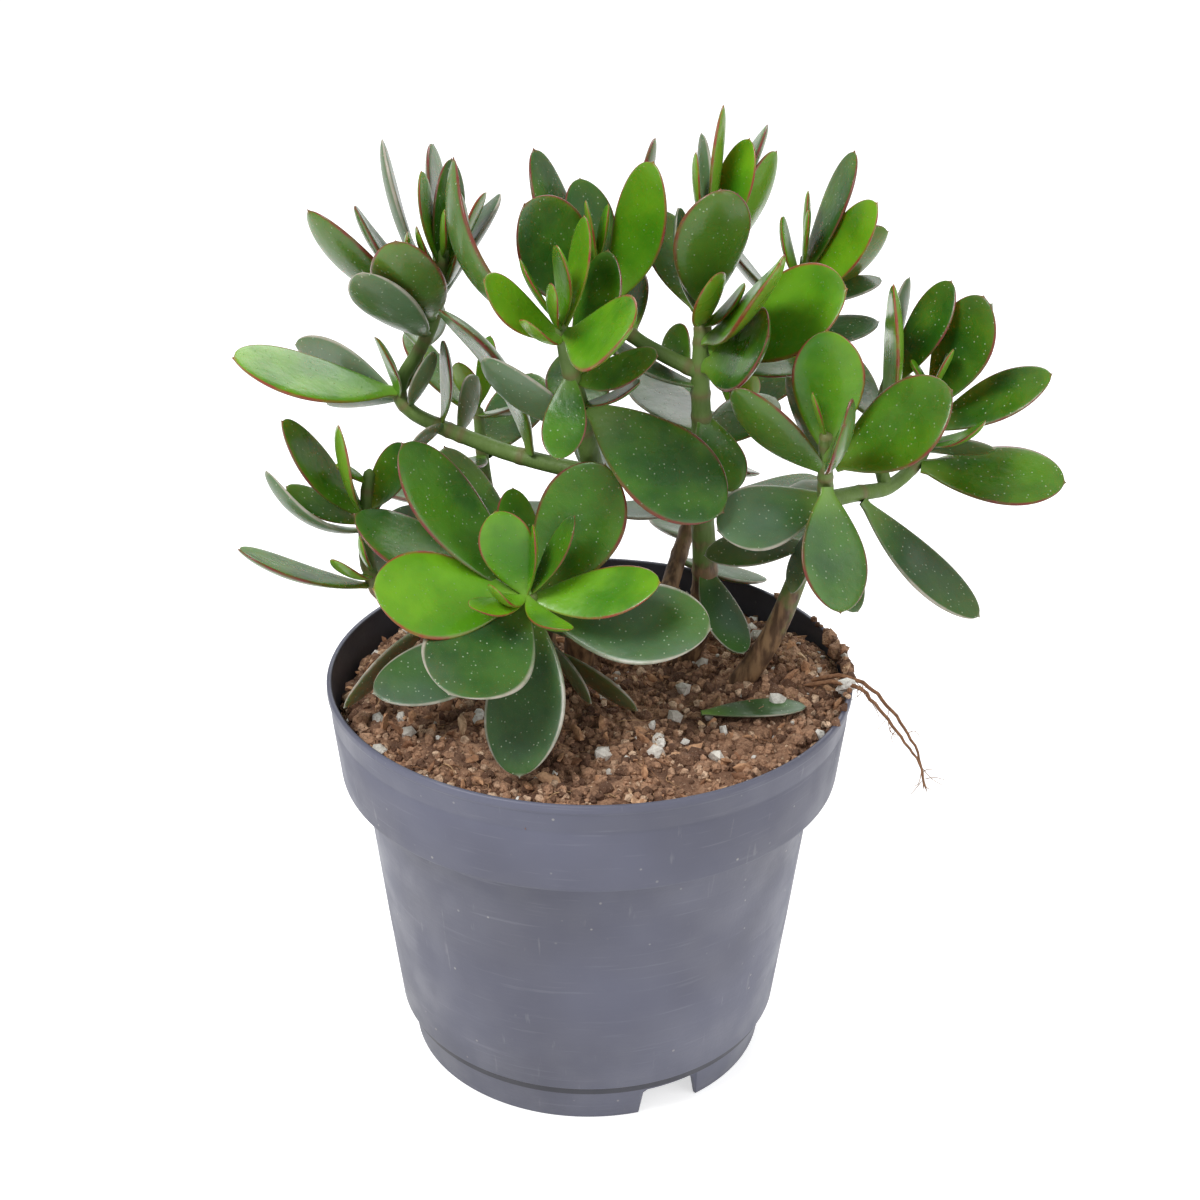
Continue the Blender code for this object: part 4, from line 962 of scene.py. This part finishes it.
@dataclass
class Soil:
    """Potting soil: a rough surface with crumbs, bark, perlite and root fibres."""

    rows: int = 110
    sides: int = 300
    radius: float = 82.2
    bottom: float = 108.0
    lip_radius: float = 84.0        # furthest out that a crumb lies, on the pot's lip
    crumbs: int = 5200
    bark: int = 260
    perlite: int = 150
    fibres: int = 150
    clods: int = 420
    fibre_reference: tuple = (0.3, 0.2, 1.0)    # seldom along a fibre

    def height(self, x: np.ndarray, y: np.ndarray) -> np.ndarray:
        """Surface height: the CAD surface plus three sizes of lumps, sunk by the wall at the left."""
        edge = SOIL_EDGE_DROP * (np.hypot(x, y) / SOIL_RINGS[-1]) ** 6
        away = (x - MOUND_PLACE[0]) ** 2 + (y - MOUND_PLACE[1]) ** 2
        level = SOIL_LEVEL - edge + MOUND_HEIGHT * np.exp(-away / (2 * MOUND_SPREAD**2))
        lumps = (1.5 * value_noise(x, y, 11.0, 3) + 0.9 * value_noise(x, y, 4.5, 4)
                 + 0.5 * value_noise(x, y, 1.8, 5))
        shrunk = np.clip(np.hypot(x, y) - 77.0, 0, 6) * np.clip(-x / 50 - 0.2, 0, 1) * 1.4
        return level + lumps - shrunk - 0.8

    def surface(self) -> None:
        """The soil's own body: a polar grid of the height, closed by a wall and a flat bottom."""
        r = np.concatenate([[0.01], np.linspace(1.0, self.radius, self.rows)])[:, None]
        turn = np.linspace(0, 2 * math.pi, self.sides, endpoint=False)[None, :]
        x, y = r * np.cos(turn), r * np.sin(turn)
        top = np.stack([x, y, self.height(x, y)], axis=-1)
        low = top[-1:].copy()
        low[..., 2] = self.bottom
        low[..., :2] *= 78.5 / self.radius
        centre = low * (0.0001, 0.0001, 1.0)
        points = np.vstack([top, low, centre]).reshape(-1, 3)
        shade = 0.35 + 0.3 * value_noise(points[:, 0], points[:, 1], 6.0, 9)
        target = Surface()
        target.add(points, grid_faces(self.rows + 3, self.sides), shade=shade)
        target.build("soil_bed", CRUMB_FINISHES["peat"].material(), "potting_soil", ["soil"])

    def scatter(self, name: str, count: int, sizes: tuple, stretch: tuple, shades: tuple, seed: int,
                material: bpy.types.Material, sink: float = 0.2, mound: float = 0.12) -> None:
        """Add one object of many rough lumps lying on the soil.

        Each lump is a twelve-point ball whose points are pushed in and out at random, stretched along three
        axes, turned at random and set at the surface height of its place.

        Args:
            name: Object name.
            count: How many lumps.
            sizes: Least and greatest radius in millimetres.
            stretch: Factors along the lump's three axes.
            shades: Least and greatest shade.
            seed: Random seed.
            material: Finish of the lumps.
            sink: Share of the radius below the surface.
            mound: Share of the lumps that lie on the mound and the rim beside it.
        """
        rng = np.random.default_rng(seed)
        golden = (1 + math.sqrt(5)) / 2
        ball = np.array([(0, a, b * golden) for a in (-1, 1) for b in (-1, 1)])
        ball = np.vstack([ball, np.roll(ball, 1, axis=1), np.roll(ball, 2, axis=1)])
        ball /= np.linalg.norm(ball[0])
        gaps = np.linalg.norm(ball[:, None] - ball[None], axis=-1)
        faces = np.array([c for c in itertools.combinations(range(12), 3)
                          if max(gaps[c[0], c[1]], gaps[c[1], c[2]], gaps[c[0], c[2]]) < 1.1])
        normal = np.cross(ball[faces[:, 1]] - ball[faces[:, 0]], ball[faces[:, 2]] - ball[faces[:, 0]])
        flip = (normal * ball[faces].mean(axis=1)).sum(axis=1) < 0
        faces[flip] = faces[flip][:, ::-1]
        radius = self.radius * np.sqrt(rng.random(count)) * 0.985
        turn = rng.uniform(0, 2 * math.pi, count)
        x, y = radius * np.cos(turn), radius * np.sin(turn)
        on_mound = rng.random(count) < mound
        x = np.where(on_mound, MOUND_PLACE[0] + 9 + rng.normal(0, 8, count), x)
        y = np.where(on_mound, MOUND_PLACE[1] - 4 + rng.normal(0, 13, count), y)
        far = np.hypot(x, y)
        keep = np.minimum(1, self.lip_radius / far)
        x, y = x * keep, y * keep
        size = rng.uniform(0, 1, count) ** 2 * (sizes[1] - sizes[0]) + sizes[0]
        over_rim = np.hypot(x, y) > self.radius
        z = np.where(over_rim, POT_HEIGHT, self.height(x, y)) + size * (0.5 - sink)
        q, _ = np.linalg.qr(rng.normal(size=(count, 3, 3)))
        bumps = rng.uniform(0.72, 1.2, (count, 12, 1))
        local = ball[None] * bumps * size[:, None, None] * np.array(stretch)
        points = np.einsum("nij,nkj->nki", q * np.sign(np.linalg.det(q))[:, None, None], local)
        points += np.stack([x, y, z], axis=-1)[:, None]
        offsets = (np.arange(count) * 12)[:, None, None]
        target = Surface()
        shade = np.repeat(rng.uniform(*shades, count), 12)
        target.add(points.reshape(-1, 3), (faces[None] + offsets).reshape(-1, 3), shade=shade)
        lumps = target.build(name, material, "potting_soil", ["soil"])
        lumps.data.shade_flat()

    def strand(self, target: Surface, route: np.ndarray, thickness: float, shade: float) -> None:
        """Add one root fibre: a five-sided bar along its route that thins to its tip."""
        side, cross = across_axes(rows_unit(np.gradient(route, axis=0)), self.fibre_reference)
        v = np.linspace(0, 2 * math.pi, 5, endpoint=False)[None, :, None]
        radius = (thickness / 2 * np.linspace(1.0, 0.35, len(route)))[:, None, None]
        points = route[:, None] + radius * (np.cos(v) * side[:, None] + np.sin(v) * cross[:, None])
        points[0], points[-1] = route[0], route[-1]
        target.add(points.reshape(-1, 3), grid_faces(len(route), 5)[:, ::-1], shade=shade)

    def roots(self) -> None:
        """Root fibres on the surface, and the tuft that hangs over the rim at the mound."""
        rng = np.random.default_rng(21)
        target = Surface()
        t = np.linspace(0, 1, 9)
        for _ in range(self.fibres):
            out, turn = 80 * math.sqrt(rng.random()), rng.uniform(0, 2 * math.pi)
            bearing, bend, length = rng.uniform(0, 2 * math.pi), rng.normal(0, 1.2), rng.uniform(6, 20)
            course = bearing + bend * t
            x = out * math.cos(turn) + np.cumsum(np.cos(course)) * length / 9
            y = out * math.sin(turn) + np.cumsum(np.sin(course)) * length / 9
            inside = np.minimum(1, 81.0 / np.hypot(x, y))
            x, y = x * inside, y * inside
            z = self.height(x, y) + 1.1 + 0.6 * np.sin(7 * t + bearing)
            self.strand(target, np.stack([x, y, z], axis=-1), rng.uniform(0.25, 0.6), rng.uniform(0.5, 1.0))
        for spine in HANGING_ROOTS:
            route = shoot_route(spine)
            fine = np.linspace(0, len(route) - 1, 26)
            route = np.stack([np.interp(fine, np.arange(len(route)), route[:, k]) for k in range(3)], axis=-1)
            route += rng.normal(0, 0.22, route.shape)
            self.strand(target, route, 1.7, 0.55)
            for _ in range(9):
                start = route[rng.integers(4, 24)]
                drop = rng.normal(0, 1, 3) * (5, 4, 3) + (1.0, -0.5, -5.0)
                hair = start + np.outer(t, drop) + np.outer(np.sin(4 * t), rng.normal(0, 0.8, 3))
                self.strand(target, hair, 0.32, 0.8)
        target.build("root_fibres", CRUMB_FINISHES["root"].material(), "potting_soil", ["soil"])

    def build(self) -> None:
        """Make the bed, then what lies on it."""
        self.surface()
        peat, bark = CRUMB_FINISHES["peat"].material(), CRUMB_FINISHES["bark"].material()
        perlite = CRUMB_FINISHES["perlite"].material()
        self.scatter("soil_crumbs", self.crumbs, (0.5, 2.0), (1, 1, 0.9), (0.0, 1.0), 31, peat)
        self.scatter("soil_clods", self.clods, (1.6, 3.6), (1, 1, 0.8), (0.1, 0.8), 32, peat, 0.5, 0.25)
        self.scatter("bark_chips", self.bark, (1.2, 3.4), (1.5, 0.7, 0.35), (0.2, 1.0), 33, bark, 0.1)
        self.scatter("perlite_grains", self.perlite, (0.9, 3.6), (1, 0.9, 0.75), (0.3, 1.0), 34, perlite,
                     0.15, 0.05)
        self.roots()


CRUMB_FINISHES = {
    "peat": CrumbFinish("soil_peat", linear(100, 70, 52), linear(184, 142, 112), linear(228, 196, 166),
                        700.0, 0.0012),
    "bark": CrumbFinish("bark_chip", linear(124, 84, 60), linear(190, 144, 108), linear(222, 188, 152),
                        500.0, 0.0006),
    "perlite": CrumbFinish("perlite_grain", linear(178, 170, 160), linear(220, 215, 206), linear(240, 238, 232),
                           900.0, 0.0004),
    "root": CrumbFinish("root_fibre", linear(92, 62, 42), linear(140, 100, 70), linear(188, 152, 112),
                        600.0, 0.0002),
}

# Woody roots that hang over the rim beside the mound
HANGING_ROOTS = (
    [(70, -6, 134), (80, -8, 137.5), (88, -10, 136), (98, -13, 126), (106, -15, 114), (110, -16, 98)],
    [(68, -9, 134), (79, -12, 137.5), (87, -15, 136), (97, -18, 124), (107, -18, 110), (109, -17, 100)],
)


@dataclass
class Studio:
    """White floor and backdrop, soft lamps and the camera."""

    camera_place: tuple = (0.0, -606.4, 459.5)
    camera_drop: float = 26.3       # degrees below level
    camera_pan: float = -0.29       # degrees, to the right
    camera_roll: float = 0.52       # degrees
    lens: float = 63.5

    def floor(self) -> None:
        """A wide pale floor that glows to the camera and still takes the object's shadow."""
        bpy.ops.mesh.primitive_plane_add(size=14.0)
        plane = bpy.context.active_object
        plane.name = "studio_floor"
        n = Nodes("studio_floor")
        n.tree.nodes.remove(n.shader)
        path = n.add("ShaderNodeLightPath").outputs
        rays = {0: path["Is Camera Ray"], 1: path["Is Glossy Ray"]}
        seen = n.add("ShaderNodeMath", rays, operation="MAXIMUM")
        plain = n.add("ShaderNodeBsdfDiffuse", {"Color": (0.8, 0.8, 0.8, 1.0)}).outputs[0]
        glow = n.add("ShaderNodeEmission", {"Color": (1.0, 1.0, 1.0, 1.0), "Strength": 0.62}).outputs[0]
        lit = n.add("ShaderNodeAddShader", {0: plain, 1: glow}).outputs[0]
        mix = n.add("ShaderNodeMixShader", {0: seen.outputs[0], 1: plain, 2: lit})
        output = next(node for node in n.tree.nodes if node.bl_idname == "ShaderNodeOutputMaterial")
        n.tree.links.new(mix.outputs[0], output.inputs["Surface"])
        plane.data.materials.append(n.material)

    def lamp(self, name: str, place: tuple, size: float, power: float) -> None:
        """A square soft lamp that faces the plant."""
        light = bpy.data.lights.new(name, "AREA")
        light.size, light.energy = size, power
        lamp = bpy.data.objects.new(name, light)
        bpy.context.scene.collection.objects.link(lamp)
        back = unit(np.array(place) - np.array([0.0, 0.0, 0.17]))
        right = unit(np.cross((0.0, 0.0, 1.0), back))
        axes = np.stack([right, np.cross(back, right), back], axis=-1)
        lamp.matrix_world = Matrix.Translation(place) @ Matrix(axes.tolist()).to_4x4()

    def world(self) -> None:
        """Even white surroundings, brighter to the camera than to the object."""
        world = bpy.data.worlds.new("studio")
        bpy.context.scene.world = world
        world.use_nodes = True
        tree_, shade = world.node_tree, world.node_tree.nodes["Background"]
        path = tree_.nodes.new("ShaderNodeLightPath")
        level = tree_.nodes.new("ShaderNodeMapRange")
        level.inputs["To Min"].default_value = 0.55
        level.inputs["To Max"].default_value = 1.0
        tree_.links.new(path.outputs["Is Camera Ray"], level.inputs["Value"])
        tree_.links.new(level.outputs["Result"], shade.inputs["Strength"])
        shade.inputs["Color"].default_value = (1.0, 1.0, 1.0, 1.0)

    def camera(self) -> None:
        """The camera, a little above the plant and looking down at it."""
        data = bpy.data.cameras.new("camera")
        data.lens, data.sensor_width, data.clip_end = self.lens, 36.0, 50.0
        camera = bpy.data.objects.new("camera", data)
        bpy.context.scene.collection.objects.link(camera)
        turn = (Matrix.Rotation(math.radians(self.camera_pan), 4, "Z")
                @ Matrix.Rotation(math.radians(90 - self.camera_drop), 4, "X")
                @ Matrix.Rotation(math.radians(self.camera_roll), 4, "Z"))
        camera.matrix_world = Matrix.Translation(np.array(self.camera_place) * MM) @ turn
        bpy.context.scene.camera = camera
        bpy.context.scene.view_settings.view_transform = "Standard"

    def build(self) -> None:
        """Set the stage."""
        self.camera()
        self.floor()
        self.world()
        self.lamp("key", (-0.55, -0.5, 1.15), 0.45, 11.0)
        self.lamp("fill", (0.9, -0.5, 0.7), 0.8, 4.0)
        self.lamp("back", (0.2, 0.9, 0.9), 0.7, 5.0)


def main() -> None:
    """Build the whole picture and report each piece."""
    logging.basicConfig(level=logging.INFO, format="%(message)s")
    Studio().build()
    Pot().build()
    Soil().build()
    Foliage().build()
    bpy.context.view_layer.update()


if __name__ == "__main__":
    main()
